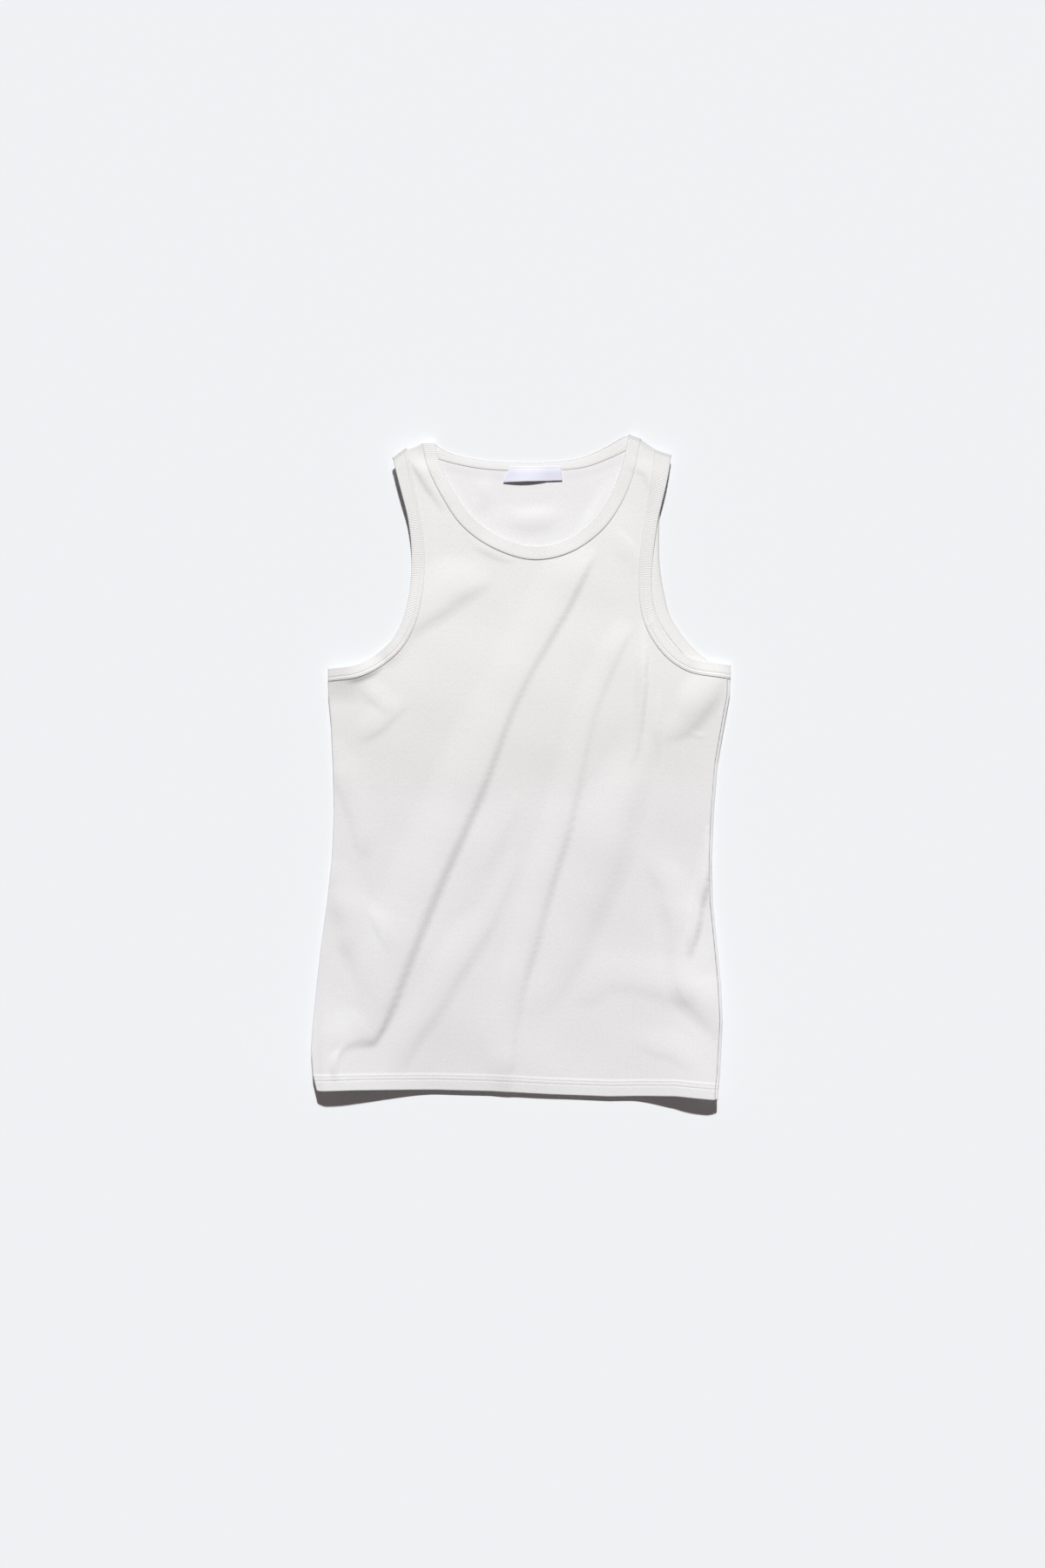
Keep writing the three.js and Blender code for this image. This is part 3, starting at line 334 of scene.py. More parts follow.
# Section of a band from its free edge round to its free edge again: place across it, height as a share of
# half its wall. An armhole's outer face has two sewn grooves, and the neck's is plain.
FREE_EDGE = [
    (0.0000, 0.00), (0.0000, 0.74), (0.00015, 0.93), (0.0004, 1.00), (0.0008, 1.00), (0.0042, 1.00),
    (0.0062, 1.00),
]
SEWN_EDGE_AND_BACK = [
    (0.0134, 0.80), (0.0137, 0.62), (0.0138, 0.30), (0.0138, -0.40), (0.0136, -0.70), (0.0126, -0.92),
    (0.0100, -1.00), (0.0060, -1.00), (0.0028, -1.00), (0.0012, -0.94), (0.0003, -0.66), (0.0000, 0.00),
]
ARM_SECTION = [
    *FREE_EDGE, (0.0078, 1.00), (0.0088, 0.98), (0.0093, 0.88), (0.0098, 0.79), (0.0103, 0.88),
    (0.0109, 1.00), (0.0116, 0.99), (0.0121, 0.88), (0.0126, 0.79), (0.0130, 0.85), *SEWN_EDGE_AND_BACK,
]
NECK_SECTION = [
    *FREE_EDGE, (0.0082, 1.00), (0.0100, 1.00), (0.0112, 0.99), (0.0122, 0.96), (0.0129, 0.90),
    *SEWN_EDGE_AND_BACK,
]
SECTION_END = 0.0138
ARM_STITCH_ROWS = (0.0098, 0.0126)  # across the band, from its free edge
RIB_STEPS = 4
BAND_WAVES = ((0.04, 41, 0), (0.03, 97, 1))  # of its thickness: share, how fast, and where each starts
GRIP_MIDDLE = 0.0112  # place across a band where its stitches press the ribs flat, and by what share
GRIP_REACH = 0.0022
GRIP = 0.7
RIB_RISE = 1.4  # how fast the ribs come up round a band's edges
JOIN_DENT = 0.0006  # of a band where it is sewn end to end
JOIN_REACH = 0.0006
RIGHT_BAND_JOIN = 0.0022  # from the armpit
RIGHT_BAND_PRESS = 0.78  # share of its thickness that the right armhole's band keeps on the back
OUT_SMOOTHINGS = 6
BAND_STITCH_PLACES = 900
BAND_STITCH_LEVEL = 0.72  # share of half a band's wall
STITCH_HALF_STEP = 1e-4  # either side of a stitch, to find its way

# The two rows inside the back neck: distances from the seam, how deep the band's row is sunk, and how many
# points each row stops short of the shoulders
NECK_ROW_ON_BAND = 0.0016
NECK_ROW_ON_PANEL = 0.0022
NECK_ROW_SINK = 0.00025
NECK_ROW_MARGIN = 4

SHADE_REACH = 0.0045  # of a band's painted shade over its sunlit turn at the shoulder, either way
BAND_SHOULDER_PAINTED_SHADE = 0.55
# Painted shade: the jersey's colour darkened towards the low left corner, by -(x + y)
CORNER_PAINTED_SHADE = [(0.27, 1.0), (0.35, 0.955), (0.40, 0.955), (0.46, 0.990)]
# The shoulder lines, left and right, as (share of x to add to y, what that makes on the line), and the
# painted shade that darkens the jersey's sunlit turn over each shoulder, by how far a place is past the line,
# which counts as 0.5
SHOULDER_LINES = [(-0.2105, 0.3514), (0.606, 0.4085)]
SHOULDER_PAINTED_SHADE = [(0.486, 1.0), (0.497, 0.975), (0.5005, 0.88), (0.5025, 0.45)]

# Painted shade on a band's colour by the place round its section, from its free edge over the outer face and
# back: darker at the free edges, against the light that they catch
EDGE_PAINTED_SHADE = [(0.0, 0.50), (0.04, 0.55), (0.07, 0.85), (0.12, 0.95), (0.18, 1.0), (0.88, 1.0), (0.96, 0.50)]
RIGHT_EDGE_PAINTED_SHADE = [
    (0.0, 0.52), (0.04, 0.60), (0.07, 0.88), (0.12, 0.96), (0.18, 1.0), (0.88, 1.0), (0.96, 0.80),
]

# Bump of the jersey beside its ribs: weight of its loops, and scale and weight of fuzz, slubs and grain
LOOP_WEIGHT = 0.3
JERSEY_NOISES = ((1500, 1.4), (260, 1.2), (620, 2.2))
WANDER_SCALE = 22  # of the noise that bends the ribs
BAND_LOOP_WEIGHT = 0.5
BAND_FUZZ = (1500, 1.2)

FLOOR_HALF = 6
FLOOR_LEVEL = -0.0002
PICTURE_ROWS = 1800
CAMERA_REACH = 30


def mix(low, high, share):
    return low + (high - low) * share


def ease(value, low=0.0, high=1.0):
    """0 before low and 1 after high, which may be the lower one, and a smooth step between them."""
    share = np.clip((value - low) / (high - low), 0, 1)
    return share * share * (3 - 2 * share)


def unit(vectors):
    return vectors / np.maximum(np.linalg.norm(vectors, axis=-1, keepdims=True), 1e-12)


def fold_rise(fold, x, y):
    """Height that one fold adds at each place. It narrows towards its ends as it gets lower."""
    steep, gentle, line = fold
    route = smooth_route(line, FOLD_STEPS)
    reach = steep + gentle
    low, high = route[:, :2].min(axis=0) - reach, route[:, :2].max(axis=0) + reach
    near = (x > low[0]) & (x < high[0]) & (y > low[1]) & (y < high[1])
    rise = np.zeros(x.shape)
    if not near.any():
        return rise
    start, step = route[:-1], np.diff(route, axis=0)
    from_x = x[near][:, None] - start[:, 0]
    from_y = y[near][:, None] - start[:, 1]
    share = (from_x * step[:, 0] + from_y * step[:, 1]) / (step[:, 0] ** 2 + step[:, 1] ** 2)
    share = np.clip(share, 0, 1)
    off_x = from_x - share * step[:, 0]
    off_y = from_y - share * step[:, 1]
    distance = np.hypot(off_x, off_y)
    side = np.sign(step[:, 0] * off_y - step[:, 1] * off_x)
    weight = np.exp((distance.min(axis=1, keepdims=True) - distance) / FOLD_BLEND)
    weight /= weight.sum(axis=1, keepdims=True)
    height = np.maximum((weight * (start[:, 2] + share * step[:, 2])).sum(axis=1), 0)
    taper = mix(FOLD_TAPER, 1, height / route[:, 2].max())
    offset = (weight * side * distance).sum(axis=1) / taper + steep / 2
    across = np.where(offset > 0, offset / steep, -offset / gentle)
    rise[near] = np.where(across < 1, height * (1 - across**2) ** 2, 0)
    return rise


def lift_at(x, y):
    total = np.zeros(np.shape(x))
    for start, full, foot, head, height, tip_start, tip_end, tip_drop in LIFTS:
        along = np.clip((y - foot) / (head - foot), 0, LIFT_LIMIT)
        curl = along**2 * (LIFT_CURL - (LIFT_CURL - 1) * along)
        tip = 1 - tip_drop * ease(x, tip_start, tip_end)
        total = total + height * ease(x, start, full) * tip * curl
    for start, full, foot, head, height in STRAP_LIFTS:
        total = total + height * ease(x, start, full) * ease(y, foot, head)
    return total


def ripple(x, y):
    """Low unevenness that a hand leaves in smoothed cloth, from -1 to 1."""
    return sum(np.sin(a * x + b * y + start) for a, b, start in RIPPLE_WAVES) / len(RIPPLE_WAVES)


def hem_y(x):
    return np.interp(x, HEM_LINE[:, 0], HEM_LINE[:, 1])


def hem_relief(depth):
    """Swell of the doubled hem with its two sewn grooves, by the distance from its edge."""
    swell = HEM_SWELL * (1 - ease(depth, HEM_DEPTH + HEM_FADE_START, HEM_DEPTH + HEM_FADE_END))
    grooves = sum(np.exp(-((depth - row) / HEM_GROOVE_REACH) ** 2) for row in HEM_ROWS)
    return swell - HEM_GROOVE * grooves


def cloth_settings():
    return bpy.context.scene.tank_top_cloth


def front_height(x, y):
    settings = cloth_settings()
    folds = sum(fold_rise(fold, x, y) for fold in FOLDS.values())
    creases = sum(fold_rise(fold, x, y) for fold in CREASES.values())
    shoulder = -SHOULDER_DROP * ease(y, *SHOULDER_DROP_SPAN)
    relief = hem_relief(y - hem_y(x))
    uneven = settings.ripple * ripple(x, y)
    return FRONT_LEVEL + settings.fold_share * (folds + creases) + lift_at(x, y) + shoulder + relief + uneven


def seam_swell(x, y):
    """Thickness that the caught seam allowance adds to the back beside its bands."""
    gap = np.full(x.shape, SEAM_SWELL_END)
    for seam in (BACK_NECK[:, 2:], ARM_SEAMS["left", "back"], ARM_SEAMS["right", "back"]):
        for place in smooth_route(seam, SEAM_ROUTE_STEPS):
            gap = np.minimum(gap, np.hypot(x - place[0], y - place[1]))
    return SEAM_SWELL * (1 - ease(gap, SEAM_SWELL_START, SEAM_SWELL_END))


def back_height(x, y):
    in_neck = ease(x, *BACK_NECK_RISE_LEFT) * ease(x, *BACK_NECK_RISE_RIGHT)
    neck = BACK_NECK_RISE * in_neck * ease(y, *BACK_NECK_RISE_FOOT)
    folds = sum(fold_rise(fold, x, y) for fold in BACK_FOLDS.values())
    return BACK_LEVEL + lift_at(x, y) + neck + folds


def back_neck_band_height(x, y):
    """The back neckline's band slopes from the raised seam down to its free edge."""
    depth = (np.interp(x, BACK_NECK[:, 0], BACK_NECK[:, 1]) - y) / BACK_NECK_DEPTH
    return mix(BACK_LEVEL + lift_at(x, y), back_height(x, y), np.clip(depth, 0, 1))


def smooth_route(points, steps=24):
    """Close points along a centripetal spline through the given ones."""
    points = np.array(points, float)
    ends = np.vstack([2 * points[0] - points[1], points, 2 * points[-1] - points[-2]])
    t = np.linspace(0, 1, steps, endpoint=False)[:, None]
    parts = []
    for a, b, c, d in zip(ends, ends[1:], ends[2:], ends[3:]):
        ab, bc, cd = (np.linalg.norm(q - p) ** 0.5 for p, q in ((a, b), (b, c), (c, d)))
        leave = ((b - a) / ab - (c - a) / (ab + bc) + (c - b) / bc) * bc
        arrive = ((c - b) / bc - (d - b) / (bc + cd) + (d - c) / cd) * bc
        parts.append(b * (2 * t**3 - 3 * t**2 + 1) + leave * (t**3 - 2 * t**2 + t)
                     + c * (3 * t**2 - 2 * t**3) + arrive * (t**3 - t**2))
    return np.vstack(parts + [points[-1:]])


def lengths_along(points):
    steps = np.linalg.norm(np.diff(points, axis=0), axis=1)
    return np.concatenate([[0], np.cumsum(steps)])


def read_at(wanted, run, points):
    """Points read between their places in a run."""
    return np.stack([np.interp(wanted, run, column) for column in points.T], axis=-1)


def at_lengths(points, wanted):
    """Places on a line of close points at distances along it."""
    return read_at(wanted, lengths_along(points), points)


def shares_of(ends, counts):
    """Shares of a whole that divide each of its stretches evenly."""
    limits = [0, *ends, 1]
    stretches = zip(limits, limits[1:], counts)
    parts = [np.linspace(low, high, count, endpoint=False) for low, high, count in stretches]
    return np.concatenate(parts + [[1]])


def stations(points, ends, counts):
    route = smooth_route(points)
    return at_lengths(route, shares_of(ends, counts) * lengths_along(route)[-1])


def beside(points, distance, first, last):
    """A line moved sideways, and drawn to a given place at each end."""
    along = unit(np.gradient(points, axis=0))
    moved = points + distance * np.stack([-along[:, 1], along[:, 0]], axis=1)
    place = np.linspace(0, 1, len(points))[:, None]
    near = 1 - ease(place, 0, END_DRAW)
    far = 1 - ease(place, 1, 1 - END_DRAW)
    return moved + (np.array(first) - moved[0]) * near + (np.array(last) - moved[-1]) * far


def fill_between(bottom, top, left, right):
    """A grid of places filled in smoothly between four edges, from the bottom row up."""
    u = ((bottom[:, 0] - bottom[0, 0]) / (bottom[-1, 0] - bottom[0, 0]))[None, :, None]
    rises = [lengths_along(edge) / lengths_along(edge)[-1] for edge in (left, right)]
    v = (sum(rises) / 2)[:, None, None]
    places = (1 - v) * bottom[None] + v * top[None] + (1 - u) * left[:, None] + u * right[:, None]
    low = (1 - u) * bottom[0] + u * bottom[-1]
    high = (1 - u) * top[0] + u * top[-1]
    return places - (1 - v) * low - v * high


def line_between(start, end, count):
    return np.linspace(start, end, count + 1)


def turn_rows(front, back, out, start, end, steps, bow=TURN):
    """Rows of places round the turn from the front, at 0, to the back, at pi."""
    middle = (front + back) / 2
    half = (front - back) / 2
    ahead = np.concatenate([unit(np.asarray(out, float)), np.zeros(np.shape(out)[:-1] + (1,))], axis=-1) * bow
    angles = np.linspace(start, end, steps + 1)
    return np.stack([middle + half * cos(angle) + ahead * sin(angle) for angle in angles])


def with_height(places, height_at):
    return np.concatenate([places, height_at(places[..., 0], places[..., 1])[..., None]], axis=-1)


def armhole(side, panel):
    """The seam and the free edge of one armhole on one panel."""
    steps = STEPS[panel]
    counts = [steps["pit"], steps["chest"], steps["strap_length"]]
    seam = stations(ARM_SEAMS[side, panel], ARM_SHARES[panel], counts)
    width = BAND_WIDTH if side == "left" else -BAND_WIDTH
    free = beside(seam, width, (seam[0, 0], PIT_FREE[side]), SHOULDERS[side]["arm_free"][0])
    return {"seam": seam, "free": free}


def neck_counts(panel):
    steps = STEPS[panel]
    return [steps["strap_length"], steps["neck"], steps["strap_length"]]


def front_neck():
    seam = stations(FRONT_NECK, FRONT_NECK_SHARES, neck_counts("front"))
    ends = (SHOULDERS[side]["neck_free"][0] for side in ("left", "right"))
    return {"seam": seam, "free": beside(seam, BAND_WIDTH, *ends)}


def back_neck():
    free = smooth_route(BACK_NECK[:, :2])
    seam = smooth_route(BACK_NECK[:, 2:])
    index = shares_of(BACK_NECK_SHARES, neck_counts("back")) * (len(free) - 1)
    order = np.arange(len(free))
    return {"seam": read_at(index, order, seam), "free": read_at(index, order, free)}


def garment_lines(panel):
    """The armholes and the neckline of one panel."""
    neck = front_neck() if panel == "front" else back_neck()
    return {"left": armhole("left", panel), "right": armhole("right", panel), "neck": neck}


def tucked(line):
    """The edge of a panel under its band."""
    width = np.linalg.norm(line["free"] - line["seam"], axis=1)[:, None]
    return line["seam"] + (line["free"] - line["seam"]) * TUCK / width


def body_shares():
    """Shares of the body's height at which its rows lie: close in the hem, even above it."""
    height = SIDES[-1, 0] - SIDES[0, 0]
    hem = np.arange(0, HEM_DEPTH + HEM_ROW_MARGIN, HEM_ROW)
    above = np.linspace(hem[-1], height, round((height - hem[-1]) / BODY_ROW) + 1)[1:]
    return np.concatenate([hem, above]) / height


def panel_blocks(panel):
    """The plan of one panel, as its body, chest and two straps."""
    lines = garment_lines(panel)
    left, right, neck = (tucked(lines[name]) for name in ("left", "right", "neck"))
    pit, strap, neck_steps, chest, strap_length = STEPS[panel].values()
    shares = body_shares()
    edge = SOLID_WALL / 2 + TURN
    sides = []
    for column, inset, top in ((1, edge, left[0]), (2, -edge, right[0])):
        seam = SIDE_SEAM_INSET if panel == "front" and column == 2 else 0
        y = mix(hem_y(SIDES[0, column]) + HEM_TURN, top[1], shares)
        x = np.interp(y, SIDES[:, 0], SIDES[:, column]) + inset - seam
        sides.append(np.stack([x, y], axis=1))
    chest_row = line_between(left[pit], right[pit], 2 * strap + neck_steps)
    top_row = np.vstack([left[:pit], chest_row, right[:pit][::-1]])
    top_row[0] = sides[0][-1]
    top_row[-1] = sides[1][-1]
    across = (top_row[:, 0] - top_row[0, 0]) / (top_row[-1, 0] - top_row[0, 0])
    hem_x = mix(sides[0][0, 0], sides[1][0, 0], across)
    hem_row = np.stack([hem_x, hem_y(hem_x) + HEM_TURN], axis=1)
    neck_start, neck_end = strap_length, strap_length + neck_steps
    base_left = line_between(left[pit + chest], neck[neck_start], strap)
    base_right = line_between(neck[neck_end], right[pit + chest], strap)
    chest_top = np.vstack([base_left[:-1], neck[neck_start:neck_end + 1], base_right[1:]])
    chest_left, chest_right = left[pit:pit + chest + 1], right[pit:pit + chest + 1]
    top_left = line_between(left[-1], neck[0], strap)
    top_right = line_between(neck[-1], right[-1], strap)
    blocks = {
        "body": fill_between(hem_row, top_row, *sides),
        "chest": fill_between(chest_row, chest_top, chest_left, chest_right),
        "left strap": fill_between(base_left, top_left, left[pit + chest:], neck[:neck_start + 1][::-1]),
        "right strap": fill_between(base_right, top_right, neck[neck_end:], right[pit + chest:]),
    }
    if panel == "front":
        return {name: with_height(block, front_height) for name, block in blocks.items()}
    swollen = {}
    for name, block in blocks.items():
        swollen[name] = with_height(block, back_height)
        swollen[name][..., 2] += seam_swell(block[..., 0], block[..., 1])
    return swollen


def with_side_turns(body, panel):
    """Adds the turned edges at the sides. The back's right edge comes round to the seam on the front."""
    half_gap = SEAM_GAP / 2 / TURN
    steps = TURN_STEPS // 2

    def ends(column, shift=0.0):
        place = body[:, column, :2] + (shift, 0)
        return with_height(place, front_height), with_height(place, back_height)

    left_out, right_out = np.array([-1.0, 0.0]), np.array([1.0, 0.0])
    if panel == "front":
        over = turn_rows(*ends(0), left_out, pi / 2 - half_gap, 0, steps)
        return np.concatenate([over[:-1].transpose(1, 0, 2), body], axis=1)
    under = turn_rows(*ends(0), left_out, pi / 2 + half_gap, pi, steps)
    around = turn_rows(*ends(-1), right_out, pi, 0, TURN_STEPS)
    seam = with_height(body[:, -1, :2] + (SEAM_GAP - SIDE_SEAM_INSET, 0), front_height)[:, None]
    turned = [under[:-1].transpose(1, 0, 2), body, around[1:].transpose(1, 0, 2), seam]
    return np.concatenate(turned, axis=1)


def turn_ways(side, *lines):
    """The ways that the turns of these lines face at one shoulder."""
    return [SHOULDERS[side][line][1] for line in lines]


def with_shoulder_turn(strap, panel, outs):
    """Adds the turned edge over a shoulder, up to the shoulder seam."""
    half_gap = SEAM_GAP / 2 / TURN
    places = strap[-1, :, :2]
    out = np.linspace(outs[0], outs[1], len(places))
    front, back = with_height(places, front_height), with_height(places, back_height)
    start, end = (0, SHOULDER_SEAM - half_gap) if panel == "front" else (pi, SHOULDER_SEAM + half_gap)
    turned = turn_rows(front, back, out, start, end, TURN_STEPS // 2, SHOULDER_TURN)
    return np.concatenate([strap, turned[1:]])


def hem_turn_up(body, panel):
    """The cloth that goes round the lower edge and up inside as the hem's second ply."""
    inward = -1 if panel == "front" else 1
    level = front_height if panel == "front" else back_height
    edge = body[0]
    rows = [edge]
    for angle in np.linspace(0, pi, HEM_TURN_STEPS + 1)[1:]:
        shift = np.array([0, -HEM_TURN * sin(angle), inward * HEM_TURN * (1 - cos(angle))])
        rows.append(edge + shift)
    for depth in np.linspace(HEM_PLY_MARGIN, HEM_DEPTH - HEM_PLY_MARGIN, HEM_PLY_STEPS):
        relief = hem_relief(depth) if panel == "front" else 0
        ply = with_height(edge[:, :2] + (0, depth), level)
        rows.append(ply + (0, 0, inward * 2 * HEM_TURN - relief))
    return np.stack(rows[::-1])


def add_grid(bm, places):
    """Adds a grid moved onto a table of places, with its own map from 0 to 1 each way."""
    rows, columns = places.shape[:2]
    made = bmesh.ops.create_grid(bm, x_segments=columns - 1, y_segments=rows - 1, size=1, calc_uvs=True)
    if len(made["verts"]) != rows * columns:
        raise RuntimeError(f"a grid of {rows} by {columns} came out with {len(made['verts'])} corners")
    for vertex in made["verts"]:
        column = round((vertex.co.x + 1) / 2 * (columns - 1))
        row = round((vertex.co.y + 1) / 2 * (rows - 1))
        vertex.co = places[row, column]


def finish_mesh(name, bm, material, merge=MERGE):
    """Makes an object of a bmesh, at the origin, smooth, riding on the garment's one body."""
    bmesh.ops.remove_doubles(bm, verts=bm.verts, dist=merge)
    mesh = bpy.data.meshes.new(name)
    bm.to_mesh(mesh)
    bm.free()
    mesh.polygons.foreach_set("use_smooth", [True] * len(mesh.polygons))
    mesh.materials.append(material)
    piece = bpy.data.objects.new(name, mesh)
    bpy.context.collection.objects.link(piece)
    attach(piece, "root")
    return piece


def give_wall(piece, thickness):
    wall = piece.modifiers.new("Wall", "SOLIDIFY")
    wall.thickness = thickness
    wall.offset = 0


def make_panel(panel):
    blocks = panel_blocks(panel)
    left_outs = turn_ways("left", "arm_seam", "neck_seam")
    right_outs = turn_ways("right", "neck_seam", "arm_seam")
    grids = [
        with_side_turns(blocks["body"], panel),
        blocks["chest"],
        with_shoulder_turn(blocks["left strap"], panel, left_outs),
        with_shoulder_turn(blocks["right strap"], panel, right_outs),
        hem_turn_up(blocks["body"], panel),
    ]
    bm = bmesh.new()
    bm.loops.layers.uv.new("UVMap")
    for places in grids:
        add_grid(bm, places)
    if panel == "back":
        bmesh.ops.reverse_faces(bm, faces=bm.faces)
    piece = finish_mesh(f"{panel}_cloth", bm, jersey_material(panel))
    give_wall(piece, cloth_settings().wall)
    return piece


def band_edges(line, height_at, lift):
    """The free edge and the sewn edge of a band along one panel, in the middle of its wall."""
    width = np.linalg.norm(line["free"] - line["seam"], axis=1)[:, None]
    sewn = line["seam"] + (line["free"] - line["seam"]) * SEAM_GAP / width
    lifted = np.array([0, 0, lift])
    return with_height(line["free"], height_at) + lifted, with_height(sewn, height_at) + lifted


def band_ring(front, back, first_outs, last_outs, back_height_at=back_height, bows=(TURN, SHOULDER_TURN)):
    """Closed lines of a band's free and sewn edges: along the front, over, along the back and over again."""
    front_edges = band_edges(front, front_height, FRONT_BAND_LIFT)
    back_edges = band_edges(back, back_height_at, BACK_BAND_LIFT)
    ring = []
    for ahead, behind, first_out, last_out in zip(front_edges, back_edges, first_outs, last_outs):
        last = turn_rows(ahead[-1], behind[-1], np.array(last_out), 0, pi, TURN_STEPS, bows[1])
        first = turn_rows(ahead[0], behind[0], np.array(first_out), pi, 0, TURN_STEPS, bows[0])
        ring.append(np.vstack([ahead, last[1:-1], behind[::-1], first[1:]]))
    return ring


def even_ring(ring, count):
    """The two edges of a ring at an even number of stations, with the way out of the cloth at each."""
    free, sewn = ring
    run = lengths_along((free + sewn) / 2)
    wanted = np.linspace(0, run[-1], count + 1)
    free, sewn = read_at(wanted, run, free), read_at(wanted, run, sewn)
    middle = (free + sewn) / 2
    closing = middle[1:2] - middle[-2:-1]
    along = np.vstack([closing, middle[2:] - middle[:-2], closing])
    out = unit(np.cross(along, sewn - free))
    an_eighth = count // 8  # of the way round, which is on the front, where out is up
    if out[an_eighth, 2] < 0:
        out = -out
    for _ in range(OUT_SMOOTHINGS):
        out[1:-1] = unit(out[:-2] + 2 * out[1:-1] + out[2:])
    return free, sewn, out, run[-1]


def make_band(name, ring, front_count, section, joins=(), press=1.0, edge_painted_shade=EDGE_PAINTED_SHADE):
    """A knitted band, both faces, with its ribs raised across it.

    joins are places along it where it is sewn end to end. Past its first front_count places it is on the
    back, where it keeps the press share of its thickness.
    """
    settings = cloth_settings()
    run = lengths_along((ring[0] + ring[1]) / 2)
    front_length, length = run[front_count - 1], run[-1]
    ribs = round(length / settings.band_rib)
    free, sewn, out, length = even_ring(ring, ribs * RIB_STEPS)
    count = len(free)
    along = np.linspace(0, length, count)
    rib = settings.band_relief * np.cos(2 * pi * ribs * along / length)
    uneven = 1 + sum(share * np.sin(along * pace + start) for share, pace, start in BAND_WAVES)
    across = unit(sewn - free)
    width = np.linalg.norm(sewn - free, axis=1)
    past_front = ease(along, front_length, front_length + PRESS_REACH)
    slim = mix(1, press, past_front * ease(along, length, length - PRESS_REACH))
    rows = []
    for place, share in section:
        spot = free + across * (width * place / SECTION_END)[:, None]
        gripped = 1 - np.exp(-((place - GRIP_MIDDLE) / GRIP_REACH) ** 2) * GRIP
        raised = np.sign(share) * min(1, abs(share) * RIB_RISE)
        height = share * BAND_WALL / 2 * uneven + rib * gripped * raised
        for join in joins:
            for gap in ((along - join) % length, (join - along) % length):
                height = height - share * JOIN_DENT * np.exp(-(gap / JOIN_REACH) ** 2)
        rows.append(spot + out * (height * slim + (1 - slim) * BAND_WALL / 2)[:, None])
    bm = bmesh.new()
    bm.loops.layers.uv.new("UVMap")
    add_grid(bm, np.stack(rows))
    bmesh.ops.remove_doubles(bm, verts=bm.verts, dist=MERGE)
    bmesh.ops.recalc_face_normals(bm, faces=bm.faces)
    shoulder = (front_length + run[front_count + TURN_STEPS - 1]) / 2
    return finish_mesh(name, bm, band_material(length, shoulder, edge_painted_shade))


def band_row(ring, place):
    """A line on the outer face of a band, this far from its free edge, with the way out of it."""
    free, sewn, out, _ = even_ring(ring, BAND_STITCH_PLACES)
    spot = free + (sewn - free) * place / SECTION_END
    return spot + out * (BAND_WALL / 2 * BAND_STITCH_LEVEL), out


def sew_row(bm, points, outs, settings):
    """Sinks a row of separate stitches into the cloth along a line."""
    run = lengths_along(points)
    count = max(1, round(run[-1] / settings.spacing))
    for k in range(count):
        middle = (k + 0.5) * run[-1] / count
        places = [middle - STITCH_HALF_STEP, middle, middle + STITCH_HALF_STEP]
        start, spot, end = (Vector(place) for place in at_lengths(points, places))
        out = Vector(read_at(middle, run, outs)).normalized()
        along = (end - start).normalized()
        side = out.cross(along).normalized()
        turn = Matrix((along, side, out)).transposed().to_4x4()
        stretch = Matrix.Diagonal((settings.length / 2, settings.thread / 2, settings.thread / 2, 1))
        place = Matrix.Translation(spot) @ turn @ stretch
        bmesh.ops.create_icosphere(bm, subdivisions=1, radius=1, matrix=place)


def make_stitches(name, rows):
    settings = bpy.context.scene.tank_top_sewing
    bm = bmesh.new()
    for points, outs in rows:
        sew_row(bm, points, outs, settings)
    piece = finish_mesh(name, bm, thread_material(), merge=1e-8)
    return piece


def new_material(name, colour, roughness):
    material = bpy.data.materials.new(name)
    material.use_nodes = True
    shader = material.node_tree.nodes["Principled BSDF"]
    shader.inputs["Base Color"].default_value = (*colour, 1)
    shader.inputs["Roughness"].default_value = roughness
    shader.inputs["Specular IOR Level"].default_value = 0.25
    return material, material.node_tree, shader


def maths(tree, operation, *inputs):
    """The outcome of a maths node whose inputs are sockets or numbers."""
    node = tree.nodes.new("ShaderNodeMath")
    node.operation = operation
    for value, socket in zip(inputs, node.inputs):
        if isinstance(value, (int, float)):
            socket.default_value = value
        else:
            tree.links.new(value, socket)
    return node.outputs[0]


def wave_of(tree, source, pitch, *phase):
    """A sine from -1 to 1 along a coordinate, with this pitch, shifted by a socket where one is given."""
    return maths(tree, "SINE", maths(tree, "MULTIPLY_ADD", source, 2 * pi / pitch, *phase))


def weighted_sum(tree, terms):
    """Sockets added up, each times its weight."""
    total = 0
    for socket, weight in terms:
        total = maths(tree, "MULTIPLY_ADD", socket, weight, total)
    return total


def noise_of(tree, source, scale, detail=2.0):
    noise = tree.nodes.new("ShaderNodeTexNoise")
    noise.inputs["Scale"].default_value = scale
    noise.inputs["Detail"].default_value = detail
    tree.links.new(source, noise.inputs["Vector"])
    return noise.outputs["Fac"]


def add_bump(tree, shader, height, distance):
    bump = tree.nodes.new("ShaderNodeBump")
    bump.inputs["Strength"].default_value = 1
    bump.inputs["Distance"].default_value = distance
    tree.links.new(height, bump.inputs["Height"])
    tree.links.new(bump.outputs[0], shader.inputs["Normal"])


def map_range(tree, value, spans):
    """A socket's value moved from one span to another."""
    node = tree.nodes.new("ShaderNodeMapRange")
    for name, number in zip(("From Min", "From Max", "To Min", "To Max"), spans):
        node.inputs[name].default_value = number
    tree.links.new(value, node.inputs["Value"])
    return node.outputs["Result"]


def ramp_of(tree, place, stops, interpolation="LINEAR"):
    """Colour by a socket's value, through stops of (value, colour)."""
    ramp = tree.nodes.new("ShaderNodeValToRGB")
    ramp.color_ramp.interpolation = interpolation
    elements = ramp.color_ramp.elements
    elements[0].position, elements[-1].position = stops[0][0], stops[-1][0]
    for spot, _ in stops[1:-1]:
        elements.new(spot)
    for element, (_, colour) in zip(elements, stops):
        element.color = (*colour, 1)
    tree.links.new(place, ramp.inputs[0])
    return ramp.outputs[0]


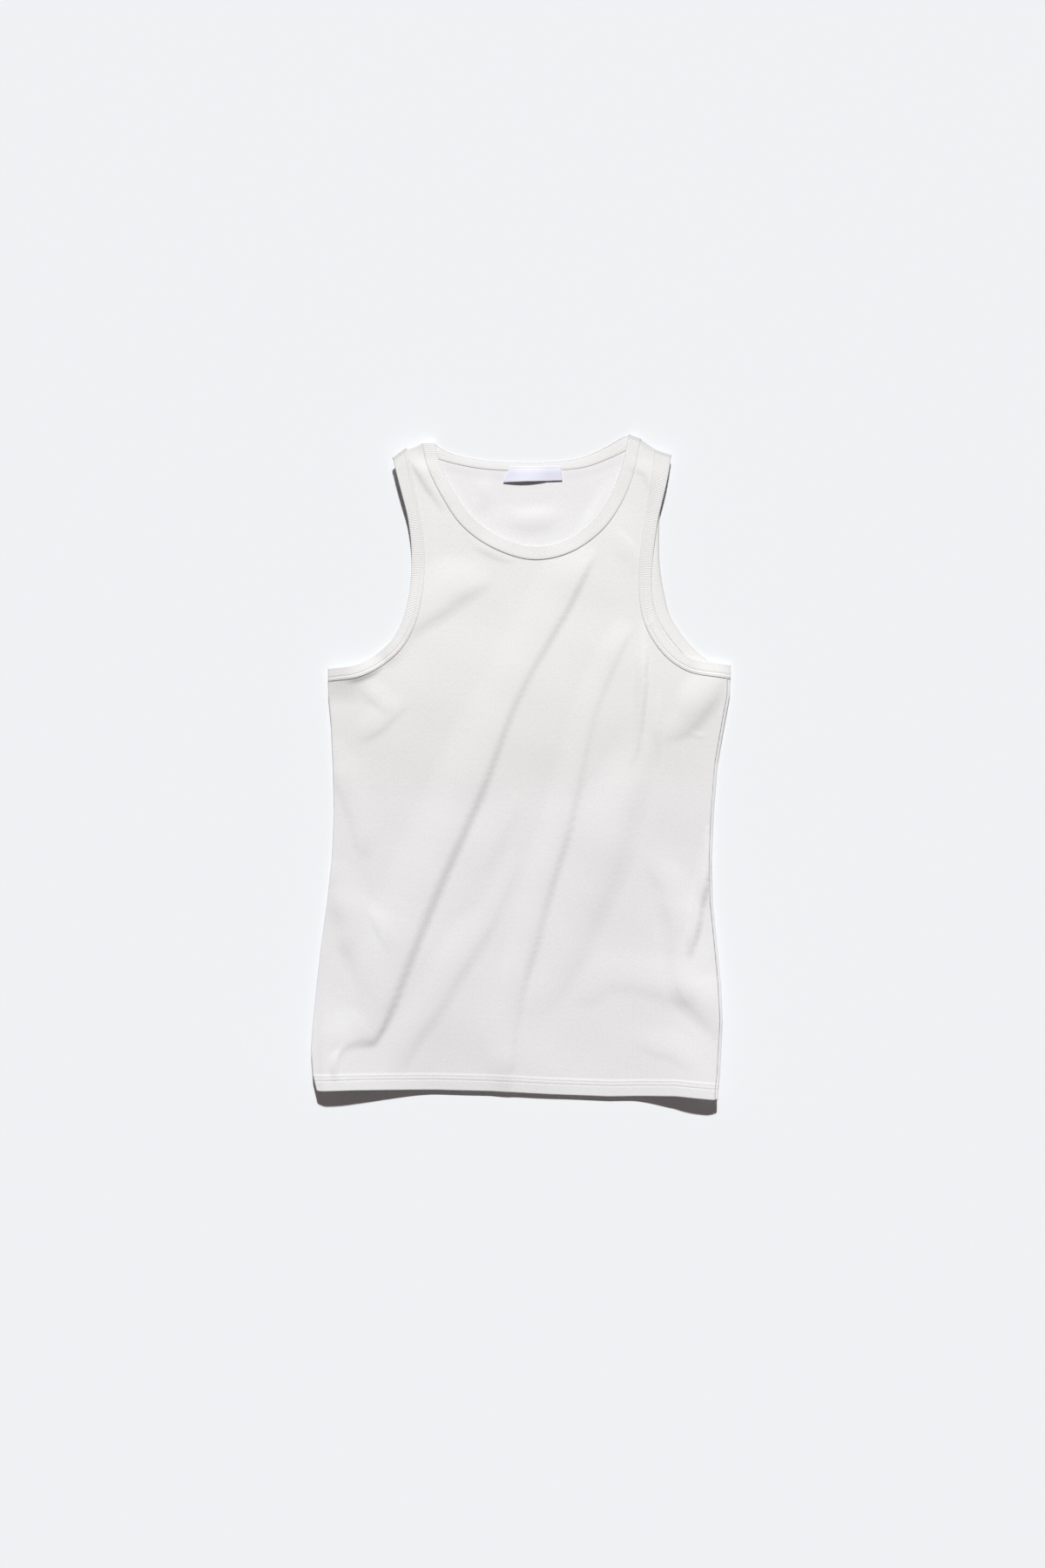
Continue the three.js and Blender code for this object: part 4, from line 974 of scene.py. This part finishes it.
def add_mottle(tree, shader, source, colour, scale, depth):
    """Varies the colour a little, between itself and a darker, warmer one."""
    darker = [tone * (1 - loss * depth) for tone, loss in zip(colour, (1, 1, BLUE_LOSS))]
    stops = list(zip(NOISE_SPAN, (darker, colour)))
    mottled = ramp_of(tree, noise_of(tree, source, scale, 3), stops)
    tree.links.new(mottled, shader.inputs["Base Color"])


def scale_colour(tree, shader, tone):
    """Multiplies the shader's colour by a tone, given as a socket of numbers or of colours."""
    colour = shader.inputs["Base Color"].links[0].from_socket
    product = tree.nodes.new("ShaderNodeVectorMath")
    product.operation = "MULTIPLY"
    tree.links.new(colour, product.inputs[0])
    tree.links.new(tone, product.inputs[1])
    tree.links.new(product.outputs[0], shader.inputs["Base Color"])


def speckle(tree, shader, coordinates, scale, low, high):
    """Varies the colour's lightness by a noise."""
    noise = noise_of(tree, coordinates, scale, 3)
    scale_colour(tree, shader, map_range(tree, noise, (*NOISE_SPAN, low, high)))


def paint_light_falloff_and_mottle(tree, shader, coordinates, height, tones):
    """Paints light: grades the colour lighter from the belly to the shoulders, for light that falls off down
    the garment, and mottles it a little.
    """
    place = map_range(tree, height, (LIGHT_FALLOFF_START, LIGHT_FALLOFF_END))
    painted_falloff = ramp_of(tree, place, list(zip((0, LIGHT_FALLOFF_MIDDLE, 1), tones)))
    tree.links.new(painted_falloff, shader.inputs["Base Color"])
    speckle(tree, shader, coordinates, *PATCHES)
    speckle(tree, shader, coordinates, *GRAIN)


def paint_shade(tree, shader, place, tones):
    """Paints shade: darkens the colour by a socket's value, through eased stops of (value, tone)."""
    stops = [(spot, (tone, tone, tone)) for spot, tone in tones]
    scale_colour(tree, shader, ramp_of(tree, place, stops, "EASE"))


def past_shoulder(tree, x, y):
    """How far a place is past the nearer shoulder line, plus 0.5."""
    past = []
    for slope, level in SHOULDER_LINES:
        past.append(maths(tree, "ADD", weighted_sum(tree, [(y, 1.0), (x, slope)]), 0.5 - level))
    return maths(tree, "MAXIMUM", *past)


def add_nap(shader):
    shader.inputs["Sheen Weight"].default_value = 0.12
    shader.inputs["Sheen Roughness"].default_value = 0.6


def jersey_material(panel):
    """Fine rib knit: ribs up the garment, rows of loops across them, and a little fuzz."""
    name = f"{panel}_jersey_knit"
    found = bpy.data.materials.get(name)
    if found:
        return found
    settings = cloth_settings()
    material, tree, shader = new_material(name, settings.colour, 0.92)
    coordinates = tree.nodes.new("ShaderNodeTexCoord").outputs["Object"]
    parts = tree.nodes.new("ShaderNodeSeparateXYZ")
    tree.links.new(coordinates, parts.inputs[0])
    x, y = parts.outputs["X"], parts.outputs["Y"]
    wander = noise_of(tree, coordinates, WANDER_SCALE, 1)
    ribs = wave_of(tree, x, settings.jersey_rib, wander)
    loops = wave_of(tree, y, settings.jersey_course, wander)
    noises = [(noise_of(tree, coordinates, scale), weight) for scale, weight in JERSEY_NOISES]
    height = weighted_sum(tree, [(ribs, 1.0), (loops, LOOP_WEIGHT), *noises])
    add_bump(tree, shader, height, settings.jersey_relief)
    # The colours graded up the panel are painted light, lighter towards the shoulders and the neck.
    top = settings.top_painted_light_colour if panel == "front" else settings.inside_painted_light_colour
    paint_light_falloff_and_mottle(tree, shader, coordinates, y, (settings.colour, settings.chest_painted_light_colour, top))
    # Painted shade darkens the low left corner.
    paint_shade(tree, shader, weighted_sum(tree, [(x, -1.0), (y, -1.0)]), CORNER_PAINTED_SHADE)
    # Painted shade darkens the sunlit turns over the shoulders.
    paint_shade(tree, shader, past_shoulder(tree, x, y), SHOULDER_PAINTED_SHADE)
    add_nap(shader)
    return material


def band_material(length, shoulder, edge_painted_shade):
    """Rib band: the ribs are in the mesh, and the loops along each rib are bump on the band's own map.

    The length is the whole way round it, and shoulder is how far along it turns over the shoulder, where
    painted shade darkens it; painted shade also darkens its free edges.
    """
    name = f"band_knit_{round(length * 1000)}"
    found = bpy.data.materials.get(name)
    if found:
        return found
    settings = cloth_settings()
    material, tree, shader = new_material(name, settings.band_colour, 0.92)
    texture = tree.nodes.new("ShaderNodeTexCoord")
    parts = tree.nodes.new("ShaderNodeSeparateXYZ")
    tree.links.new(texture.outputs["UV"], parts.inputs[0])
    around = 2 * BAND_WIDTH + 2 * BAND_WALL
    loops = wave_of(tree, parts.outputs["Y"], settings.jersey_course / around)
    coordinates = texture.outputs["Object"]
    fuzz = noise_of(tree, coordinates, BAND_FUZZ[0])
    height = weighted_sum(tree, [(loops, BAND_LOOP_WEIGHT), (fuzz, BAND_FUZZ[1])])
    add_bump(tree, shader, height, settings.jersey_relief)
    add_mottle(tree, shader, coordinates, settings.band_colour, scale=18, depth=0.012)
    speckle(tree, shader, coordinates, *GRAIN)
    # Painted shade darkens the band along its free edges.
    paint_shade(tree, shader, parts.outputs["Y"], edge_painted_shade)
    # Painted shade darkens the band where it turns over the shoulder.
    places = [(shoulder + step) / length for step in (-SHADE_REACH, 0, SHADE_REACH)]
    paint_shade(tree, shader, parts.outputs["X"], list(zip(places, (1, BAND_SHOULDER_PAINTED_SHADE, 1))))
    add_nap(shader)
    return material


def thread_material():
    found = bpy.data.materials.get("sewing_thread")
    if found:
        return found
    settings = bpy.context.scene.tank_top_sewing
    material, tree, shader = new_material("sewing_thread", settings.colour, 0.6)
    coordinates = tree.nodes.new("ShaderNodeTexCoord").outputs["Object"]
    add_bump(tree, shader, noise_of(tree, coordinates, scale=4000, detail=1), distance=0.00003)
    add_mottle(tree, shader, coordinates, settings.colour, scale=90, depth=0.02)
    return material


def label_material():
    """Woven satin tape: fine weft lines across it."""
    settings = bpy.context.scene.tank_top_label
    material, tree, shader = new_material("label_weave", settings.colour, 0.55)
    coordinates = tree.nodes.new("ShaderNodeTexCoord").outputs["Object"]
    parts = tree.nodes.new("ShaderNodeSeparateXYZ")
    tree.links.new(coordinates, parts.inputs[0])
    weft = wave_of(tree, parts.outputs["Y"], pitch=0.00052)
    warp = wave_of(tree, parts.outputs["X"], pitch=0.00034)
    fuzz = noise_of(tree, coordinates, scale=900)
    add_bump(tree, shader, weighted_sum(tree, [(weft, 1.0), (warp, 0.4), (fuzz, 0.8)]), distance=0.000022)
    add_mottle(tree, shader, coordinates, settings.colour, scale=60, depth=0.02)
    shader.inputs["Sheen Weight"].default_value = 0.1
    return material


def make_label():
    """A tape folded in two: down its under ply from the seam, round the fold at its foot and back over."""

    def place(across, down, ply):
        width = mix(LABEL_TOP_WIDTH, LABEL_FOOT_WIDTH, down)
        x = LABEL_MIDDLE + (across - 0.5) * width - LABEL_LEAN * down
        y = LABEL_TOP - LABEL_DEPTH * down + LABEL_TILT * (across - 0.5) * down
        arch = np.sin(pi * np.clip(across / LABEL_ARCH_SPAN, 0, 1)) * LABEL_ARCH * down
        level = mix(LABEL_TOP_LEVEL, LABEL_FOOT_LEVEL, ease(down, 0, 0.4))
        return np.stack([x, y + 0 * x, level + arch + ply * LABEL_PLY * 0.75 + 0 * x], axis=1)

    across = np.linspace(0, 1, LABEL_STEPS + 1)
    under = [place(across, down, -1) for down in np.linspace(0.15, LABEL_FOLD, 8)]
    over = [place(across, down, 1) for down in (*np.linspace(LABEL_FOLD, 0.06, 11), 0.012, 0)]
    fold = []
    for angle in np.linspace(-pi / 2, pi / 2, 7)[1:-1]:
        row = place(across, LABEL_FOLD, sin(angle))
        row[:, 1] -= (1 - LABEL_FOLD) * LABEL_DEPTH * cos(angle)
        fold.append(row)
    bm = bmesh.new()
    bm.loops.layers.uv.new("UVMap")
    add_grid(bm, np.stack(under + fold + over))
    piece = finish_mesh("woven_label", bm, label_material())
    give_wall(piece, LABEL_PLY)
    return piece


def label_stitches():
    """Rows of small stitches at the label's two upper ends."""
    rows = []
    rest = LABEL_TOP_LEVEL + LABEL_PLY * 1.4
    for end in LABEL_STITCH_ENDS:
        x = LABEL_MIDDLE + (end - 0.5) * LABEL_TOP_WIDTH
        y = LABEL_TOP - np.linspace(*LABEL_STITCH_SPAN, LABEL_STITCH_PLACES)
        points = np.stack([x + 0 * y, y, rest + 0 * y], axis=1)
        rows.append((points, np.tile(UP, (len(y), 1))))
    return rows


def hem_stitches():
    """The two rows along the hem, on the front and on the back."""
    rows = []
    x = np.linspace(*HEM_STITCHES, HEM_STITCH_PLACES)
    up = np.tile(UP, (len(x), 1))
    half = cloth_settings().wall / 2
    for depth in HEM_ROWS:
        y = hem_y(x) + depth
        above = np.stack([x, y, front_height(x, y) + half], axis=1)
        below = np.stack([x, y, back_height(x, y) - half + 0.0001], axis=1)
        rows += [(above, up), (below, -up)]
    return rows


def back_neck_stitches():
    """The two rows inside the back neck: one on the band and one on the panel under its seam."""
    line = back_neck()
    seam, free = line["seam"], line["free"]
    away = unit(seam - free)
    band_face = BACK_BAND_LIFT + (BACK_NECK_PRESS - 0.5) * BAND_WALL - NECK_ROW_SINK
    on_band = with_height(seam - away * NECK_ROW_ON_BAND, back_neck_band_height) + (0, 0, band_face)
    on_panel = with_height(seam + away * NECK_ROW_ON_PANEL, back_height) + (0, 0, cloth_settings().wall / 2)
    kept = slice(NECK_ROW_MARGIN, -NECK_ROW_MARGIN)
    return [(points[kept], np.tile(UP, (len(points[kept]), 1))) for points in (on_band, on_panel)]


def neck_ring():
    first, last = (turn_ways(side, "neck_free", "neck_seam") for side in ("left", "right"))
    bows = (SHOULDER_TURN, SHOULDER_TURN)
    return band_ring(front_neck(), back_neck(), first, last, back_neck_band_height, bows)


def arm_ring(side):
    out = (-1.0, 0.0) if side == "left" else (1.0, 0.0)
    last = turn_ways(side, "arm_free", "arm_seam")
    return band_ring(armhole(side, "front"), armhole(side, "back"), (out, out), last)


def length_setting(name, description, default, precision=5, **limits):
    return bpy.props.FloatProperty(
        name=name, description=description, default=default, unit="LENGTH", precision=precision, **limits)


def angle_setting(name, description, degrees):
    return bpy.props.FloatProperty(
        name=name, description=description, default=radians(degrees), subtype="ANGLE")


def colour_setting(name, description, default):
    return bpy.props.FloatVectorProperty(
        name=name, description=description, default=default, size=3, subtype="COLOR", min=0, max=1)


class ClothSettings(bpy.types.PropertyGroup):
    wall: length_setting("Wall", "Thickness of the rib jersey", 0.001, 4, min=0.0005, max=0.002)
    fold_share: bpy.props.FloatProperty(
        name="Fold share", description="Share of their free height that the folds keep", default=1.0,
        min=0, max=1, subtype="FACTOR")
    ripple: length_setting(
        "Ripple", "Height of the unevenness of the smoothed cloth", 0.00035, min=0, max=0.002)
    jersey_rib: length_setting("Jersey rib", "Pitch of the ribs of the jersey", 0.0013)
    jersey_course: length_setting("Jersey course", "Pitch of the rows of loops", 0.0008)
    jersey_relief: length_setting("Jersey relief", "Depth of the knit's bump", 0.00004, 6)
    band_rib: length_setting("Band rib", "Pitch of the ribs of the bands", 0.00167)
    band_relief: length_setting("Band relief", "Height of the ribs of the bands", 0.00015)
    colour: colour_setting("Jersey colour", "Colour of the jersey", (0.726, 0.730, 0.737))
    # The chest and top colours, and the inside colour of the back, are painted light: the jersey drawn lighter
    # up towards the shoulders.
    chest_painted_light_colour: colour_setting("Chest colour", "Colour of the jersey at the chest", (0.752, 0.762, 0.750))
    top_painted_light_colour: colour_setting("Top colour", "Colour of the jersey at the shoulders", (0.790, 0.797, 0.795))
    inside_painted_light_colour: colour_setting(
        "Inside colour", "Colour of the inside of the back at the neck", (0.800, 0.805, 0.818))
    band_colour: colour_setting("Band colour", "Colour of the bands", (0.780, 0.788, 0.784))


class SewingSettings(bpy.types.PropertyGroup):
    spacing: length_setting("Spacing", "Distance from one stitch to the next", 0.0028)
    length: length_setting("Length", "Length of a stitch", 0.0024)
    thread: length_setting("Thread", "Thickness of the thread", 0.00038)
    colour: colour_setting("Thread colour", "Colour of the thread", (0.75, 0.755, 0.75))


class LabelSettings(bpy.types.PropertyGroup):
    colour: colour_setting("Label colour", "Colour of the woven label", (0.697, 0.715, 0.825))


class StageSettings(bpy.types.PropertyGroup):
    pixel: length_setting("Pixel", "Real size of a pixel of the 1200 by 1800 picture", 0.0009)
    distance: length_setting("Camera height", "Height of the camera over the surface", 2.5, 2)
    middle: bpy.props.FloatVectorProperty(
        name="Camera place", description="Place under the camera", default=(0.0020, -0.0185), size=2,
        subtype="XYZ", unit="LENGTH")
    floor_colour: colour_setting("Floor colour", "Colour of the surface", (0.79, 0.82, 0.84))
    sun_strength: bpy.props.FloatProperty(
        name="Sun strength", description="Strength of the main light", default=4.89, min=0)
    sun_height: angle_setting("Sun height", "Height of the main light over the surface", 38)
    sun_way: angle_setting("Sun way", "Turn of the main light from the picture's top towards its right", 2)
    sun_width: angle_setting("Sun width", "Apparent width of the main light", 3)
    fill: bpy.props.FloatProperty(
        name="Fill", description="Strength of the light from all round", default=0.143, min=0)
    fill_colour: colour_setting("Fill colour", "Colour of the light from all round", (1.0, 0.82, 0.80))


class TANKTOP_OT_front_cloth(bpy.types.Operator):
    """Makes the front with its folds, side turns and turned-up hem"""
    bl_idname = "tanktop.front_cloth"
    bl_label = "Front"

    def execute(self, context):
        piece = make_panel("front")
        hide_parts("front_panel")
        return {"FINISHED"}


class TANKTOP_OT_back_cloth(bpy.types.Operator):
    """Makes the back, flat where it rests, with its side turns and turned-up hem"""
    bl_idname = "tanktop.back_cloth"
    bl_label = "Back"

    def execute(self, context):
        piece = make_panel("back")
        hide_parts("back_panel")
        return {"FINISHED"}


class TANKTOP_OT_bands(bpy.types.Operator):
    """Makes the ribbed bands of the neck and the armholes"""
    bl_idname = "tanktop.bands"
    bl_label = "Bands"

    def execute(self, context):
        bands = {
            "neck_band": (neck_ring(), "neck_binding", "neck", NECK_SECTION, (), BACK_NECK_PRESS),
            "left_arm_band": (arm_ring("left"), "left_armhole_binding", "left", ARM_SECTION),
            "right_arm_band": (
                arm_ring("right"), "right_armhole_binding", "right", ARM_SECTION, (RIGHT_BAND_JOIN,),
                RIGHT_BAND_PRESS, RIGHT_EDGE_PAINTED_SHADE),
        }
        for name, (ring, node, line, *made_with) in bands.items():
            front_count = len(garment_lines("front")[line]["seam"])
            piece = make_band(name, ring, front_count, *made_with)
            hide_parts(node)
        return {"FINISHED"}


class TANKTOP_OT_label(bpy.types.Operator):
    """Makes the plain woven label inside the back neck"""
    bl_idname = "tanktop.label"
    bl_label = "Label"

    def execute(self, context):
        piece = make_label()
        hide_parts("neck_label")
        return {"FINISHED"}


class TANKTOP_OT_stitches(bpy.types.Operator):
    """Sews the hem, the bands and the label with rows of separate stitches"""
    bl_idname = "tanktop.stitches"
    bl_label = "Stitches"

    def execute(self, context):
        make_stitches("hem_stitches", hem_stitches())
        for side in ("left", "right"):
            ring = arm_ring(side)
            make_stitches(f"{side}_arm_stitches", [band_row(ring, place) for place in ARM_STITCH_ROWS])
        make_stitches("back_neck_stitches", back_neck_stitches())
        make_stitches("label_stitches", label_stitches())
        return {"FINISHED"}


class TANKTOP_OT_stage(bpy.types.Operator):
    """Sets the floor, the light and the camera straight above the garment"""
    bl_idname = "tanktop.stage"
    bl_label = "Stage"

    def execute(self, context):
        settings = context.scene.tank_top_stage
        add_floor(settings)
        add_light(settings)
        add_camera(settings)
        return {"FINISHED"}


def add_floor(settings):
    bm = bmesh.new()
    bmesh.ops.create_grid(bm, x_segments=1, y_segments=1, size=FLOOR_HALF)
    bmesh.ops.translate(bm, verts=bm.verts, vec=(0, 0, FLOOR_LEVEL))
    mesh = bpy.data.meshes.new("floor")
    bm.to_mesh(mesh)
    bm.free()
    material, _, shader = new_material("floor_paper", settings.floor_colour, 0.9)
    shader.inputs["Specular IOR Level"].default_value = 0.1
    mesh.materials.append(material)
    floor = bpy.data.objects.new("floor", mesh)
    bpy.context.collection.objects.link(floor)


def add_light(settings):
    sun = bpy.data.lights.new("main_light", "SUN")
    sun.energy = settings.sun_strength
    sun.angle = settings.sun_width
    lamp = bpy.data.objects.new("main_light", sun)
    height, way = settings.sun_height, settings.sun_way
    towards = Vector((sin(way) * cos(height), cos(way) * cos(height), sin(height)))
    lamp.rotation_euler = towards.to_track_quat("Z", "Y").to_euler()
    bpy.context.collection.objects.link(lamp)
    scene = bpy.context.scene
    world = bpy.data.worlds.new("fill_light")
    world.use_nodes = True
    background = world.node_tree.nodes["Background"]
    background.inputs["Color"].default_value = (*settings.fill_colour, 1)
    background.inputs["Strength"].default_value = settings.fill
    scene.world = world
    scene.view_settings.view_transform = "Standard"
    scene.view_settings.look = "None"


def add_camera(settings):
    picture_height = PICTURE_ROWS * settings.pixel
    lens = bpy.data.cameras.new("camera")
    lens.lens = lens.sensor_width * settings.distance / picture_height
    lens.clip_end = CAMERA_REACH
    camera = bpy.data.objects.new("camera", lens)
    camera.location = (*settings.middle, settings.distance)
    bpy.context.collection.objects.link(camera)
    bpy.context.scene.camera = camera


class TANKTOP_PT_panel(bpy.types.Panel):
    """Lists the pieces of the tank top and their settings"""
    bl_idname = "TANKTOP_PT_panel"
    bl_label = "Tank top"
    bl_space_type = "VIEW_3D"
    bl_region_type = "UI"
    bl_category = "Tank top"

    def draw(self, context):
        for operator in PIECE_OPERATORS:
            self.layout.operator(operator.bl_idname)
        for name in SETTINGS:
            group = getattr(context.scene, name)
            box = self.layout.box()
            for prop in type(group).__annotations__:
                box.prop(group, prop)


SETTINGS = {
    "tank_top_cloth": ClothSettings,
    "tank_top_sewing": SewingSettings,
    "tank_top_label": LabelSettings,
    "tank_top_stage": StageSettings,
}
PIECE_OPERATORS = (
    TANKTOP_OT_stage,
    TANKTOP_OT_back_cloth,
    TANKTOP_OT_front_cloth,
    TANKTOP_OT_bands,
    TANKTOP_OT_label,
    TANKTOP_OT_stitches,
)
CLASSES = (*SETTINGS.values(), *PIECE_OPERATORS, TANKTOP_PT_panel)


def register():
    for cls in CLASSES:
        bpy.utils.register_class(cls)
    for name, group in SETTINGS.items():
        setattr(bpy.types.Scene, name, bpy.props.PointerProperty(type=group))


def unregister():
    for name in SETTINGS:
        delattr(bpy.types.Scene, name)
    for cls in reversed(CLASSES):
        bpy.utils.unregister_class(cls)


def main():
    register()
    for operator in PIECE_OPERATORS:
        group, name = operator.bl_idname.split(".")
        getattr(getattr(bpy.ops, group), name)()


if __name__ == "__main__":
    main()
